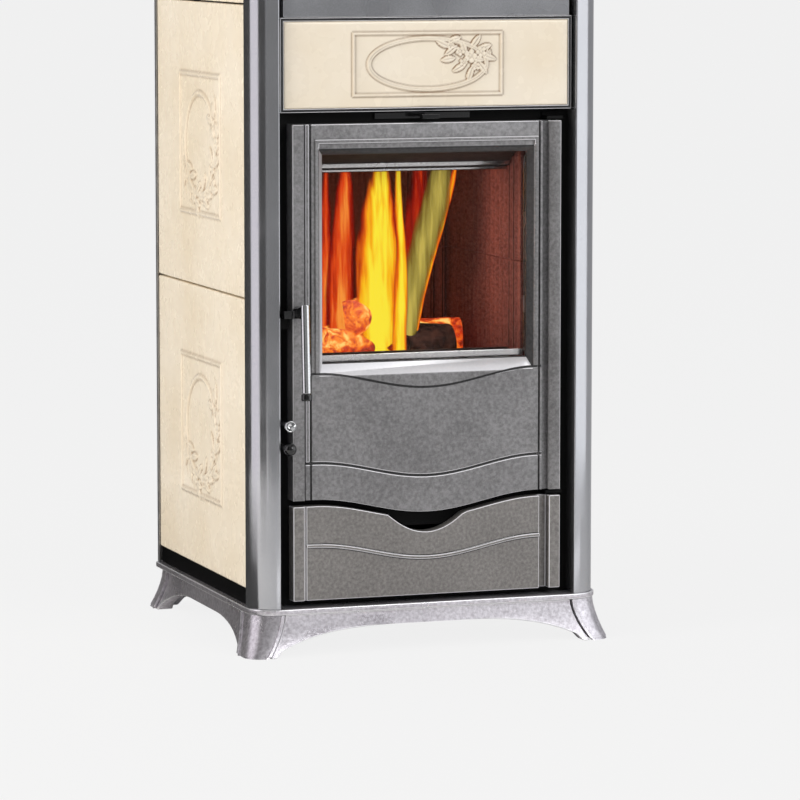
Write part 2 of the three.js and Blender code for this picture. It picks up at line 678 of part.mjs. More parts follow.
function blossom(x, z, size) {
  const petals = Array.from({ length: 5 }, (_, i) => {
    const a = 2 * Math.PI * (i + 0.25) / 5;
    const reach = size * 0.3;
    return leaf(x + reach * Math.cos(a), z + reach * Math.sin(a), size * 0.56, size * 0.34, a);
  });
  return [...petals, leaf(x, z, size * 0.3, size * 0.3, 0)];
}

// Leaves on both sides of a stem that curls through x, z, with a blossom at its middle.
function spray(x, z, length, lean, curl) {
  const pieces = blossom(x, z, length * 0.34);
  for (const share of [-0.5, -0.32, 0.32, 0.5]) {
    const along = lean + curl * share;
    const cx = x + length * share * Math.cos(along);
    const cz = z + length * share * Math.sin(along);
    const turn = lean + 2 * curl * share;
    const side = Math.abs(share) === 0.5 ? 0 : Math.sign(share) * 0.9;
    pieces.push(leaf(cx, cz, length * 0.26, length * 0.1, turn + side));
  }
  return pieces;
}

function mouldedFrame(width, height) {
  const rim = MOULDING_WIDTH;
  const outer = rectangle(-width / 2, width / 2, -height / 2, height / 2);
  const inner = rectangle(-width / 2 + rim, width / 2 - rim, -height / 2 + rim, height / 2 - rim);
  return thicken(withHoles(outer, [inner]), -RELIEF, 1);
}

// A tile standing with its back at depth TILE_THICKNESS and its face at depth 0.
function tileBody(width, height) {
  const ring = (inset, depth) => [
    [-width / 2 + inset, depth, -height / 2 + inset], [width / 2 - inset, depth, -height / 2 + inset],
    [width / 2 - inset, depth, height / 2 - inset], [-width / 2 + inset, depth, height / 2 - inset],
  ];
  return loft([ring(0, TILE_THICKNESS), ring(0, TILE_EDGE), ring(TILE_EDGE, 0)]);
}

function sideTile(height) {
  const body = tileBody(TILE_WIDTH, height);
  if (height < SQUARE_SIDE) return shaped(body);
  const ornament = [
    mouldedFrame(SQUARE_SIDE, SQUARE_SIDE),
    ellipseRing(WREATH_RADIUS, WREATH_RADIUS, WREATH_WIDTH, RELIEF * 1.2, 28),
    ...spray(WREATH_RADIUS * 0.6, -WREATH_RADIUS * 0.1, WREATH_RADIUS * 0.95, 0.95, 0.8),
    ...spray(-WREATH_RADIUS * 0.12, -WREATH_RADIUS * 0.72, WREATH_RADIUS * 1.15, 0.1, 0.9),
  ];
  return shaped(body, ornament);
}

function bandTile() {
  const body = tileBody(BAND_WIDTH, BAND_HEIGHT);
  const ornament = [
    mouldedFrame(BAND_FRAME_WIDTH, BAND_FRAME_HEIGHT),
    ellipseRing(BAND_OVAL_WIDTH / 2, BAND_OVAL_HEIGHT / 2, MOULDING_WIDTH, RELIEF * 1.2, 28),
    ...spray(BAND_OVAL_WIDTH * 0.36, BAND_OVAL_HEIGHT * 0.14, BAND_OVAL_HEIGHT * 1.1, 0.45, -0.6),
  ];
  return shaped(body, ornament);
}

const cladding = new THREE.Group();
stove.add(cladding);
const fullTile = sideTile(TILE_HEIGHT);
const topTile = sideTile(TOP_TILE_HEIGHT);
for (const [side, sideName] of [[-1, 'left'], [1, 'right']]) {
  const column = raise(columnProfile(side), BASE_TOP + SEAT, CLADDING_TOP);
  place(cladding, `column_${sideName}`, column, columnPaint);

  const railOut = HALF - TILE_BACKSET - RAIL_BACKSET;
  const railIn = HALF - TILE_BACKSET - TILE_THICKNESS;
  const rail = block([Math.min(side * railOut, side * railIn), Math.max(side * railOut, side * railIn)],
    [TILE_FRONT, TILE_REAR], [BASE_TOP + SEAT, RAIL_TOP]);
  place(cladding, `tile_rail_${sideName}`, rail, sheetBlack);

  const courses = [['lower', TILE_HEIGHT, fullTile], ['middle', TILE_HEIGHT, fullTile],
    ['upper', TOP_TILE_HEIGHT, topTile]];
  let level = RAIL_TOP + SEAT;
  for (const [courseName, height, geometry] of courses) {
    place(cladding, `side_tile_${sideName}_${courseName}`, geometry, glaze,
      [side * (HALF - TILE_BACKSET), (TILE_FRONT + TILE_REAR) / 2, level + (height - SEAT) / 2],
      [0, 0, side * Math.PI / 2]);
    level += height + TILE_JOINT;
  }
}

// ------------------------------------------------------------------ front plate and panels
function frontPlate() {
  const half = HALF - PLATE_SIDE_GAP;
  const through = [PLATE_DEPTH - 1, PLATE_BACK + 1];
  const land = GASKET_WIDTH + PLATE_LAND;
  const cuts = [
    block([land - GASKET_OUT, GASKET_OUT - land], through, [GASKET_BOTTOM + land, GASKET_TOP - land]),
    block([-TRAY_HALF - TRAY_PLAY, TRAY_HALF + TRAY_PLAY], through,
      [TRAY_FLOOR - RUNNER_THICKNESS - SEAT, TRAY_FLOOR + TRAY_HEIGHT + 2 * TRAY_PLAY]),
  ];
  for (const z of [SHAKER_Z, PRIMARY_Z]) {
    cuts.push(rodBetween([PULL_X, through[0], z], [PULL_X, through[1], z], PULL_RADIUS + PULL_PLAY));
  }
  for (let i = 0; i < AIR_SLOTS; i++) {
    const x = (i - (AIR_SLOTS - 1) / 2) * AIR_SLOT_PITCH;
    cuts.push(block([x - AIR_SLOT_WIDTH / 2, x + AIR_SLOT_WIDTH / 2], through,
      [SLIDE_Z - AIR_SLOT_HEIGHT / 2, SLIDE_Z + AIR_SLOT_HEIGHT / 2]));
  }
  return shaped(block([-half, half], [PLATE_DEPTH, PLATE_BACK], [BASE_TOP + SEAT, CLADDING_TOP]), [], cuts);
}

// A shallow metal tray that edges the ceramic band.
function bandCarrier() {
  const half = BAND_WIDTH / 2 + SEAT;
  const low = BAND_BOTTOM - SEAT;
  const high = BAND_BOTTOM + BAND_HEIGHT + SEAT;
  const back = BAND_DEPTH + TILE_THICKNESS + SEAT;
  const body = block([-half - TRIM, half + TRIM], [BAND_DEPTH + TRIM_BACKSET, PLATE_DEPTH - SEAT],
    [low - TRIM, high + TRIM]);
  const tilePocket = block([-half, half], [0, back], [low, high]);
  const rearPocket = block([-half, half], [back + CARRIER_SHEET, PLATE_DEPTH + 1], [low, high]);
  return shaped(body, [], [tilePocket, rearPocket]);
}

function upperPanel() {
  const half = PANEL_WIDTH / 2;
  const outline = [
    [-half, PLATE_DEPTH - SEAT], [-half, BAND_DEPTH], [half, BAND_DEPTH],
    [half, PLATE_DEPTH - SEAT], [half - PANEL_SHEET, PLATE_DEPTH - SEAT],
    [half - PANEL_SHEET, BAND_DEPTH + PANEL_SHEET], [-half + PANEL_SHEET, BAND_DEPTH + PANEL_SHEET],
    [-half + PANEL_SHEET, PLATE_DEPTH - SEAT],
  ];
  const body = raise(shapeOf(outline), PANEL_LOW, CLADDING_TOP);
  const slots = [];
  for (let i = 0; i < PANEL_SLOTS; i++) {
    const x = (i - (PANEL_SLOTS - 1) / 2) * PANEL_SLOT_PITCH;
    slots.push(block([x - PANEL_SLOT_WIDTH / 2, x + PANEL_SLOT_WIDTH / 2],
      [0, BAND_DEPTH + PANEL_SHEET + 1], [PANEL_LOW + PANEL_SLOT_FOOT, CLADDING_TOP - PANEL_SLOT_TOP]));
  }
  return shaped(body, [], slots);
}

const front = new THREE.Group();
stove.add(front);
place(front, 'front_plate', frontPlate(), sheetBlack);
place(front, 'front_band_tile', bandTile(), glaze,
  [0, BAND_DEPTH, BAND_BOTTOM + BAND_HEIGHT / 2]);
place(front, 'band_carrier', bandCarrier(), steel);
place(front, 'upper_front_panel', upperPanel(), columnPaint);

// ------------------------------------------------------------------ firebox
const WALL_DEPTHS = [PLATE_BACK + SEAT, FIREBOX_REAR - STEEL];
const WALL_HEIGHTS = [BASE_TOP + SEAT, FIREBOX_TOP];
const SHAKER_ARM_DEPTH = GRATE_FRONT + GRATE_LENGTH / 2;

function leftWall() {
  const sideways = [-FIREBOX_HALF - 1, -FIREBOX_IN + 1];
  const reach = PULL_RADIUS + PULL_PLAY;
  return shaped(block([-FIREBOX_HALF, -FIREBOX_IN], WALL_DEPTHS, WALL_HEIGHTS), [], [
    block(sideways, [SHAKER_ARM_DEPTH - GRATE_STROKE - reach, SHAKER_ARM_DEPTH + reach],
      [SHAKER_Z - reach, SHAKER_Z + reach]),
    rodBetween([sideways[0], PORT_DEPTH, PRIMARY_Z], [sideways[1], PORT_DEPTH, PRIMARY_Z],
      PORT_RADIUS, 16),
  ]);
}

// Ribbed lining: ribs run upright, drawn in plan as a row of rounded teeth.
function liningProfile(length, thickness) {
  const count = Math.floor((length - RIB_PITCH / 2) / RIB_PITCH);
  const margin = (length - count * RIB_PITCH) / 2;
  const points = [[0, thickness], [0, RIB_DEPTH], [margin, RIB_DEPTH]];
  for (let i = 0; i < count; i++) {
    const start = margin + i * RIB_PITCH;
    points.push([start + RIB_PITCH * 0.2, RIB_DEPTH]);
    points.push([start + RIB_PITCH * 0.35, RIB_DEPTH * 0.2], [start + RIB_PITCH * 0.5, 0]);
    points.push([start + RIB_PITCH * 0.65, RIB_DEPTH * 0.2], [start + RIB_PITCH * 0.8, RIB_DEPTH]);
  }
  points.push([length, RIB_DEPTH], [length, thickness]);
  return shapeOf(points);
}

function hearthFrame() {
  const half = FIREBOX_IN - SEAT;
  const top = HEARTH_TOP - HEARTH_THICKNESS - SEAT;
  const low = top - HEARTH_FRAME;
  const shelf = GRATE_THICKNESS + SEAT;
  const pocketHalf = GRATE_HALF + GRATE_PLAY / 2;
  const pocketFront = GRATE_FRONT - GRATE_STROKE - GRATE_PLAY;
  const pocketRear = GRATE_FRONT + GRATE_LENGTH + GRATE_PLAY;
  const lap = GRATE_LAP;
  return shaped(
    block([-half, half], [PLATE_BACK + SEAT, REAR_LINING_BACK], [low, top]), [],
    [
      block([-pocketHalf, pocketHalf], [pocketFront, pocketRear], [top - shelf, top + 1]),
      block([-pocketHalf + lap, pocketHalf - lap], [pocketFront + lap, pocketRear - lap],
        [low - 1, top + 1]),
    ],
  );
}

// A plate pierced by a row of slots that run from front to rear.
function slottedPlate(spanX, spanY, spanZ, slotSpan) {
  const slots = [];
  for (let i = 0; i < GRATE_SLOTS; i++) {
    const x = (i - (GRATE_SLOTS - 1) / 2) * GRATE_PITCH;
    slots.push(block([x - GRATE_SLOT / 2, x + GRATE_SLOT / 2], slotSpan, [spanZ[0] - 1, spanZ[1] + 1]));
  }
  return shaped(block(spanX, spanY, spanZ), [], slots);
}

function openTray([x0, x1], [y0, y1], [z0, z1], sheet) {
  return shaped(block([x0, x1], [y0, y1], [z0, z1]), [],
    [block([x0 + sheet, x1 - sheet], [y0 + sheet, y1 - sheet], [z0 + sheet, z1 + 1])]);
}

const firebox = new THREE.Group();
stove.add(firebox);
place(firebox, 'firebox_wall_left', leftWall(), steel);
place(firebox, 'firebox_wall_right',
  block([FIREBOX_IN, FIREBOX_HALF], WALL_DEPTHS, WALL_HEIGHTS), steel);
place(firebox, 'firebox_wall_rear', block([-FIREBOX_HALF, FIREBOX_HALF],
  [FIREBOX_REAR - STEEL + SEAT, FIREBOX_REAR + SEAT], [BASE_TOP + SEAT, FIREBOX_TOP]), steel);
place(firebox, 'firebox_ash_floor', block([-FIREBOX_IN + SEAT, FIREBOX_IN - SEAT],
  [PLATE_BACK + SEAT, FIREBOX_REAR - STEEL], [ASH_FLOOR, ASH_FLOOR + STEEL]), steel);
place(firebox, 'firebox_top', raise(withHoles(
  rectangle(-FIREBOX_HALF, FIREBOX_HALF, PLATE_BACK + SEAT, FIREBOX_REAR + SEAT),
  [circle(0, FLUE_DEPTH, FLUE_RADIUS - FLUE_WALL, 32)],
), FIREBOX_TOP + SEAT, FIREBOX_TOP + SEAT + STEEL), steel);
place(firebox, 'hearth_frame', hearthFrame(), castIron);

const slotSpan = [GRATE_FRONT + GRATE_RIM, GRATE_FRONT + GRATE_LENGTH - GRATE_RIM];
place(firebox, 'hearth_plate', slottedPlate(
  [-FIREBOX_IN + SEAT, FIREBOX_IN - SEAT], [PLATE_BACK + SEAT, REAR_LINING_BACK],
  [HEARTH_TOP - HEARTH_THICKNESS, HEARTH_TOP], slotSpan), castIron);

const sideLiningLength = REAR_LINING_FACE - SEAT - LINING_FRONT;
for (const [course, courseName] of [[0, 'lower'], [1, 'upper']]) {
  const low = HEARTH_TOP + SEAT + course * (LINING_COURSE + SEAT);
  const high = low + LINING_COURSE;
  const sideLining = raise(liningProfile(sideLiningLength, LINING_THICKNESS), low, high);
  place(firebox, `lining_left_${courseName}`, sideLining, refractory,
    [-LINING_FACE, LINING_FRONT, 0], [0, 0, Math.PI / 2]);
  place(firebox, `lining_right_${courseName}`, sideLining, refractory,
    [LINING_FACE, LINING_FRONT + sideLiningLength, 0], [0, 0, -Math.PI / 2]);
  const rearLining = raise(liningProfile(2 * (FIREBOX_IN - SEAT), REAR_LINING_THICKNESS), low, high);
  place(firebox, `lining_rear_${courseName}`, rearLining, refractory,
    [-FIREBOX_IN + SEAT, REAR_LINING_FACE, 0]);
}

place(firebox, 'baffle_plate', block([-FIREBOX_IN + BAFFLE_PLAY, FIREBOX_IN - BAFFLE_PLAY],
  [BAFFLE_FRONT, REAR_LINING_BACK], [LINING_TOP + SEAT, LINING_TOP + SEAT + BAFFLE_THICKNESS]),
refractory);
const barHalf = LINING_FACE - RETAINER_PLAY;
place(firebox, 'log_retainer', shaped(
  block([-barHalf, barHalf], [RETAINER_DEPTH, RETAINER_DEPTH + RETAINER_SHEET],
    [HEARTH_TOP + SEAT, HEARTH_TOP + RETAINER_HEIGHT]),
  [block([-barHalf, barHalf], [RETAINER_DEPTH, RETAINER_DEPTH + RETAINER_FOOT],
    [HEARTH_TOP + SEAT, HEARTH_TOP + RETAINER_SHEET])],
), steel);
place(firebox, 'ash_pan', openTray([-PAN_HALF, PAN_HALF], [PAN_FRONT, PAN_REAR],
  [ASH_FLOOR + STEEL + SEAT, ASH_FLOOR + STEEL + PAN_HEIGHT], TRAY_SHEET), galvanised);
for (const [side, sideName] of [[-1, 'left'], [1, 'right']]) {
  const edges = [side * (FIREBOX_IN - SEAT), side * (FIREBOX_IN - SEAT - RUNNER_WIDTH)];
  place(firebox, `drawer_runner_${sideName}`, block([Math.min(...edges), Math.max(...edges)],
    [PLATE_BACK + SEAT, FIREBOX_REAR - STEEL], [TRAY_FLOOR - RUNNER_THICKNESS, TRAY_FLOOR - SEAT]),
  galvanised);
}

// ------------------------------------------------------------------ top, flue, back, air inlet
const topRing = (out, z, round) => bodyPlan(out, round).map(([x, y]) => [x, y, z]);

function topPlate() {
  const low = CLADDING_TOP + SEAT;
  const sections = [[0, 0], [TOP_OUT * 0.15, 0.06], [TOP_OUT * 0.23, 0.2], [TOP_OUT * 0.55, 0.4],
    [TOP_OUT * 0.9, 0.55], [TOP_OUT, 0.7], [TOP_OUT, 0.86], [TOP_OUT - TOP_ROUND * 0.4, 0.97],
    [TOP_OUT - TOP_ROUND, 1]];
  const rings = sections.map(([out, share]) =>
    topRing(out, low + TOP_THICKNESS * share, COLUMN_RADIUS + out));
  const bore = rodBetween([0, FLUE_DEPTH, low - 1], [0, FLUE_DEPTH, low + TOP_THICKNESS + 1],
    FLUE_RADIUS + SEAT, 32);
  return shaped(loft(rings), [], [bore]);
}

function flueCollar() {
  const low = FIREBOX_TOP + STEEL + 2 * SEAT;
  const high = CLADDING_TOP + TOP_THICKNESS + FLUE_RISE;
  const inner = FLUE_RADIUS - FLUE_WALL;
  const outer = FLUE_RADIUS + FLUE_FLANGE;
  const profile = [[inner, low], [outer, low], [outer, low + FLUE_FLANGE_SHEET],
    [FLUE_RADIUS, low + FLUE_FLANGE_SHEET], [FLUE_RADIUS, high], [inner, high], [inner, low]];
  const points = profile.map(([radius, height]) => new THREE.Vector2(radius, height));
  return new THREE.LatheGeometry(points, 32).rotateX(Math.PI / 2).translate(0, FLUE_DEPTH, 0);
}

function backPanel() {
  const low = BASE_TOP + SEAT;
  const outline = [
    [-HALF, BODY_DEPTH - BACK_RETURN], [-HALF + PANEL_SHEET, BODY_DEPTH - BACK_RETURN],
    [-HALF + PANEL_SHEET, BODY_DEPTH - PANEL_SHEET], [HALF - PANEL_SHEET, BODY_DEPTH - PANEL_SHEET],
    [HALF - PANEL_SHEET, BODY_DEPTH - BACK_RETURN], [HALF, BODY_DEPTH - BACK_RETURN],
    [HALF, BODY_DEPTH], [-HALF, BODY_DEPTH],
  ];
  const through = [BODY_DEPTH - BACK_RETURN, BODY_DEPTH + 1];
  const cuts = [rodBetween([0, through[0], INLET_Z], [0, through[1], INLET_Z],
    INLET_RADIUS - INLET_WALL, 24)];
  const rows = [];
  for (let row = 0; row < LOWER_LOUVRES; row++) {
    rows.push(low + LOWER_LOUVRE_RISE + row * LOUVRE_PITCH);
  }
  for (let row = 0; row < UPPER_LOUVRES; row++) {
    rows.push(CLADDING_TOP - UPPER_LOUVRE_DROP - row * LOUVRE_PITCH);
  }
  const near = LOUVRE_GAP / 2;
  const far = near + LOUVRE_WIDTH;
  for (const z of rows) {
    for (const span of [[-far, -near], [near, far]]) {
      cuts.push(block(span, through, [z - LOUVRE_HEIGHT / 2, z + LOUVRE_HEIGHT / 2]));
    }
  }
  return shaped(raise(shapeOf(outline), low, CLADDING_TOP), [], cuts);
}

function airInlet() {
  const start = BODY_DEPTH + SEAT;
  const inner = INLET_RADIUS - INLET_WALL;
  const outer = INLET_RADIUS + INLET_FLANGE;
  return turnedAlongDepth([[inner, start], [outer, start], [outer, start + INLET_WALL],
    [INLET_RADIUS, start + INLET_WALL], [INLET_RADIUS, start + INLET_REACH],
    [inner, start + INLET_REACH], [inner, start]], 24);
}

const casing = new THREE.Group();
stove.add(casing);
place(casing, 'top_plate', topPlate(), castIron);
place(casing, 'flue_collar', flueCollar(), castIron);
place(casing, 'back_panel', backPanel(), galvanised);
place(casing, 'air_inlet', airInlet(), galvanised, [0, 0, INLET_Z]);

// ------------------------------------------------------------------ door
function uMoulding(half, low, high, inset) {
  return shapeOf([
    [-half, low], [-half + inset, low], [-half + inset, high - inset], [half - inset, high - inset],
    [half - inset, low], [half, low], [half, high], [-half, high],
  ]);
}

// The window's splayed opening, from its smaller rear edge to its wider front edge.
function windowCutter() {
  const ring = (side, sill, depth) => [
    [-WINDOW_HALF - side, depth, WINDOW_BOTTOM - sill], [WINDOW_HALF + side, depth, WINDOW_BOTTOM - sill],
    [WINDOW_HALF + side, depth, WINDOW_TOP + side], [-WINDOW_HALF - side, depth, WINDOW_TOP + side],
  ];
  const clear = FRAME_RELIEF + 1;
  return loft([
    ring(0, 0, DOOR_BACK + 1), ring(0, 0, REBATE_DEPTH - GLASS_LAND),
    ring(WINDOW_BEVEL, SILL_BEVEL, DOOR_FACE),
    ring(WINDOW_BEVEL + clear, SILL_BEVEL + clear, DOOR_FACE - clear),
  ]);
}

function ropeOutline(out, low, high) {
  const round = GASKET_BEND;
  const corner = (cx, cz, from) => arcPoints(cx, cz, round, from, from + Math.PI / 2, 4);
  return [
    ...corner(out - round, high - round, 0), ...corner(-out + round, high - round, Math.PI / 2),
    ...corner(-out + round, low + round, Math.PI), ...corner(out - round, low + round, 1.5 * Math.PI),
  ];
}

function ropeRing(y0, y1, play) {
  const outer = ropeOutline(GASKET_OUT + play, GASKET_BOTTOM - play, GASKET_TOP + play);
  const width = GASKET_WIDTH + play;
  const inner = ropeOutline(GASKET_OUT - width, GASKET_BOTTOM + width, GASKET_TOP - width);
  return thicken(withHoles(outer, [inner]), y0, y1);
}

function doorCasting() {
  const half = DOOR_HALF;
  const outline = shapeOf([...waveLine(-half, half, DOOR_BOTTOM, 36), [half, DOOR_TOP], [-half, DOOR_TOP]]);
  const slab = thicken(outline, DOOR_FACE, DOOR_BACK);
  const crest = DOOR_BOTTOM + WAVE_RISE;
  const frameLow = SILL_WAVE + WAVE_RISE - GROOVE_WIDTH / 2;
  const inner = half - STILE_WIDTH;
  const relief = [
    block([-half, -inner], [DOOR_FACE - STILE_RELIEF, DOOR_FACE + 1], [crest, DOOR_TOP]),
    block([inner, half], [DOOR_FACE - STILE_RELIEF, DOOR_FACE + 1], [crest, DOOR_TOP]),
    thicken(uMoulding(WINDOW_HALF + FRAME_SIDE, frameLow, WINDOW_TOP + FRAME_HEAD, FRAME_WIDTH),
      DOOR_FACE - FRAME_RELIEF, DOOR_FACE + 1),
  ];
  const grooveFloor = DOOR_FACE + GROOVE_DEPTH;
  const hingeFloor = DOOR_FACE + HINGE_GROOVE_DEPTH;
  const ridge = inner - HINGE_GROOVE + 2 * HINGE_RIDGE;
  const hollow = GASKET_OUT - GASKET_WIDTH - CASTING_RIB;
  const cuts = [
    windowCutter(),
    block([-GLASS_HALF - GLASS_PLAY, GLASS_HALF + GLASS_PLAY], [REBATE_DEPTH, DOOR_BACK + 1],
      [WINDOW_BOTTOM - GLASS_LAP - GLASS_PLAY, WINDOW_TOP + GLASS_LAP + GLASS_PLAY]),
    thicken(waveRibbon(inner - MILLED_EDGE, SILL_WAVE, GROOVE_WIDTH), 0, grooveFloor),
    thicken(waveRibbon(inner - MILLED_EDGE, PANEL_WAVE, GROOVE_WIDTH), 0, grooveFloor),
    block([-inner, -inner + MILLED_EDGE], [0, grooveFloor], [crest, DOOR_TOP + 1]),
    block([-inner + 3 * MILLED_EDGE, -inner + 4 * MILLED_EDGE], [0, grooveFloor], [crest, DOOR_TOP + 1]),
    block([inner - HINGE_GROOVE, ridge - HINGE_RIDGE], [0, hingeFloor], [crest, DOOR_TOP + 1]),
    block([ridge, inner], [0, hingeFloor], [crest, DOOR_TOP + 1]),
    ropeRing(DOOR_BACK - GASKET_GROOVE, DOOR_BACK + 1, SEAT),
    rodBetween([HINGE_X, HINGE_DEPTH, DOOR_TOP - PIN_REACH - PIN_SPACE],
      [HINGE_X, HINGE_DEPTH, DOOR_TOP + 1], PIN_RADIUS + PIN_PLAY, 12),
    rodBetween([HINGE_X, HINGE_DEPTH, DOOR_BOTTOM],
      [HINGE_X, HINGE_DEPTH, crest + PIN_REACH + PIN_SPACE], PIN_RADIUS + PIN_PLAY, 12),
    rodBetween([SPINDLE_X, 0, SPINDLE_Z], [SPINDLE_X, DOOR_BACK + 1, SPINDLE_Z],
      SPINDLE_RADIUS + SPINDLE_PLAY, 16),
    block([-hollow, hollow], [DOOR_FACE + CASTING_SKIN, DOOR_BACK + 1],
      [GASKET_BOTTOM + GASKET_WIDTH + CASTING_RIB, WINDOW_BOTTOM - GLASS_LAP - CASTING_RIB]),
  ];
  return shaped(slab, relief, cuts);
}

// A bracket with its pin: the pin stands on the plate and enters the door.
function hingeBracket(plateLow, pinTip, flangeTip) {
  const right = HINGE_X + BRACKET_HALF;
  const left = HINGE_X - BRACKET_HALF;
  const plateHigh = plateLow + BRACKET_THICKNESS;
  const rear = PLATE_DEPTH - SEAT;
  const plate = block([left, right], [HINGE_DEPTH - 2 * PIN_RADIUS, rear], [plateLow, plateHigh]);
  const flange = block([left, right], [rear - BRACKET_THICKNESS / 2, rear],
    [Math.min(plateLow, flangeTip), Math.max(plateHigh, flangeTip)]);
  const middle = (plateLow + plateHigh) / 2;
  const pin = rodBetween([HINGE_X, HINGE_DEPTH, middle], [HINGE_X, HINGE_DEPTH, pinTip], PIN_RADIUS, 12);
  return shaped(plate, [flange, pin]);
}

const door = new THREE.Group();
stove.add(door);
place(door, 'door_casting', doorCasting(), castIron);
place(door, 'door_glass', block([-GLASS_HALF, GLASS_HALF],
  [REBATE_DEPTH + SEAT, REBATE_DEPTH + SEAT + GLASS_THICKNESS],
  [WINDOW_BOTTOM - GLASS_LAP, WINDOW_TOP + GLASS_LAP]), clearGlass);
for (const [side, sideName] of [[-1, 'left'], [1, 'right']]) {
  const edges = [side * (WINDOW_HALF + SEAT), side * GLASS_HALF];
  const face = REBATE_DEPTH + GLASS_THICKNESS + 2 * SEAT;
  place(door, `glass_strip_${sideName}`, block([Math.min(...edges), Math.max(...edges)],
    [face, face + GLASS_STRIP], [WINDOW_BOTTOM + STRIP_SHORT, WINDOW_TOP - STRIP_SHORT]), steel);
}
place(door, 'door_gasket', ropeRing(DOOR_BACK - GASKET_GROOVE + SEAT, PLATE_DEPTH - SEAT, 0), rope);
place(front, 'hinge_bracket_top', hingeBracket(
  DOOR_TOP + HINGE_PLAY, DOOR_TOP - PIN_REACH, DOOR_TOP + HINGE_PLAY + BRACKET_FLANGE), steel);
const lowBracket = DOOR_BOTTOM + WAVE_RISE - HINGE_PLAY - BRACKET_THICKNESS;
place(front, 'hinge_bracket_bottom', hingeBracket(
  lowBracket, DOOR_BOTTOM + WAVE_RISE + PIN_REACH, lowBracket - BRACKET_FLANGE), steel);

// ------------------------------------------------------------------ latch handle
function latchSpindle() {
  const shaft = rodBetween([SPINDLE_X, -ROD_TOP_OUT, SPINDLE_Z], [SPINDLE_X, DOOR_BACK + 2, SPINDLE_Z],
    SPINDLE_RADIUS, 16);
  const hub = rodBetween([SPINDLE_X, -HUB_FRONT, SPINDLE_Z],
    [SPINDLE_X, HUB_LENGTH - HUB_FRONT, SPINDLE_Z], HUB_RADIUS, 16);
  const arm = block([SPINDLE_X - TONGUE_OUT, SPINDLE_X], [-LATCH_FRONT, LATCH_ARM - LATCH_FRONT],
    [SPINDLE_Z - LATCH_HEIGHT, SPINDLE_Z + SPINDLE_RADIUS / 2]);
  const tongue = block([SPINDLE_X - TONGUE_OUT, SPINDLE_X - TONGUE_OUT + TONGUE_WIDTH],
    [-LATCH_FRONT, PLATE_DEPTH - TONGUE_END], [SPINDLE_Z - LATCH_HEIGHT, SPINDLE_Z]);
  return shaped(shaft, [hub, arm, tongue]);
}

const rodTop = [SPINDLE_X, -ROD_TOP_OUT - ROD_RADIUS - SEAT, SPINDLE_Z + ROD_ABOVE];
const rodFoot = [SPINDLE_X - ROD_LEAN, -ROD_BOTTOM_OUT, SPINDLE_Z - ROD_BELOW];
const alongRod = new THREE.Vector3(...rodFoot).sub(new THREE.Vector3(...rodTop)).normalize();
const beyondFoot = (distance) => alongRod.clone().multiplyScalar(distance)
  .add(new THREE.Vector3(...rodFoot)).toArray();

const handle = new THREE.Group();
door.add(handle);
place(handle, 'latch_spindle', latchSpindle(), bakelite);
place(handle, 'handle_rod', rodBetween(rodTop, rodFoot, ROD_RADIUS, 16), chrome);
place(handle, 'handle_end_cap', rodBetween(beyondFoot(SEAT), beyondFoot(SEAT + CAP_LENGTH), CAP_RADIUS, 16),
  bakelite);
const keeperSpan = [SPINDLE_X - TONGUE_OUT, SPINDLE_X - TONGUE_OUT + KEEPER_WIDTH];
const keeperTop = SPINDLE_Z - LATCH_HEIGHT - KEEPER_GAP;
const keeperBack = PLATE_DEPTH - SEAT;
place(front, 'latch_keeper', shaped(
  block(keeperSpan, [keeperBack - KEEPER_LENGTH, keeperBack],
    [keeperTop - KEEPER_HEIGHT, keeperTop]),
  [block(keeperSpan, [keeperBack - KEEPER_FOOT, keeperBack],
    [keeperTop - KEEPER_HEIGHT - KEEPER_LAP, keeperTop + KEEPER_LAP])],
), sheetBlack);

// ------------------------------------------------------------------ air slide and pull rods
place(front, 'air_slide', shaped(
  block([-SLIDE_HALF, SLIDE_HALF], [PLATE_DEPTH - SEAT - SLIDE_SHEET, PLATE_DEPTH - SEAT],
    [SLIDE_Z - SLIDE_HEIGHT / 2, SLIDE_Z + SLIDE_HEIGHT / 2]),
  [
    block([-LEVER_NECK / 2, LEVER_NECK / 2], [0, PLATE_DEPTH - SLIDE_SHEET],
      [SLIDE_Z - SLIDE_SHEET / 2, SLIDE_Z + SLIDE_SHEET / 2]),
    block([-LEVER_WIDTH / 2, LEVER_WIDTH / 2], [-LEVER_OUT, LEVER_OUT],
      [SLIDE_Z - LEVER_HEIGHT / 2, SLIDE_Z + LEVER_HEIGHT / 2]),
  ],
), bakelite);

const grateLow = HEARTH_TOP - HEARTH_THICKNESS - SEAT - GRATE_THICKNESS;
place(firebox, 'shaker_grate', slottedPlate(
  [-GRATE_HALF, GRATE_HALF], [GRATE_FRONT, GRATE_FRONT + GRATE_LENGTH],
  [grateLow, grateLow + GRATE_THICKNESS - SEAT], slotSpan), castIron);

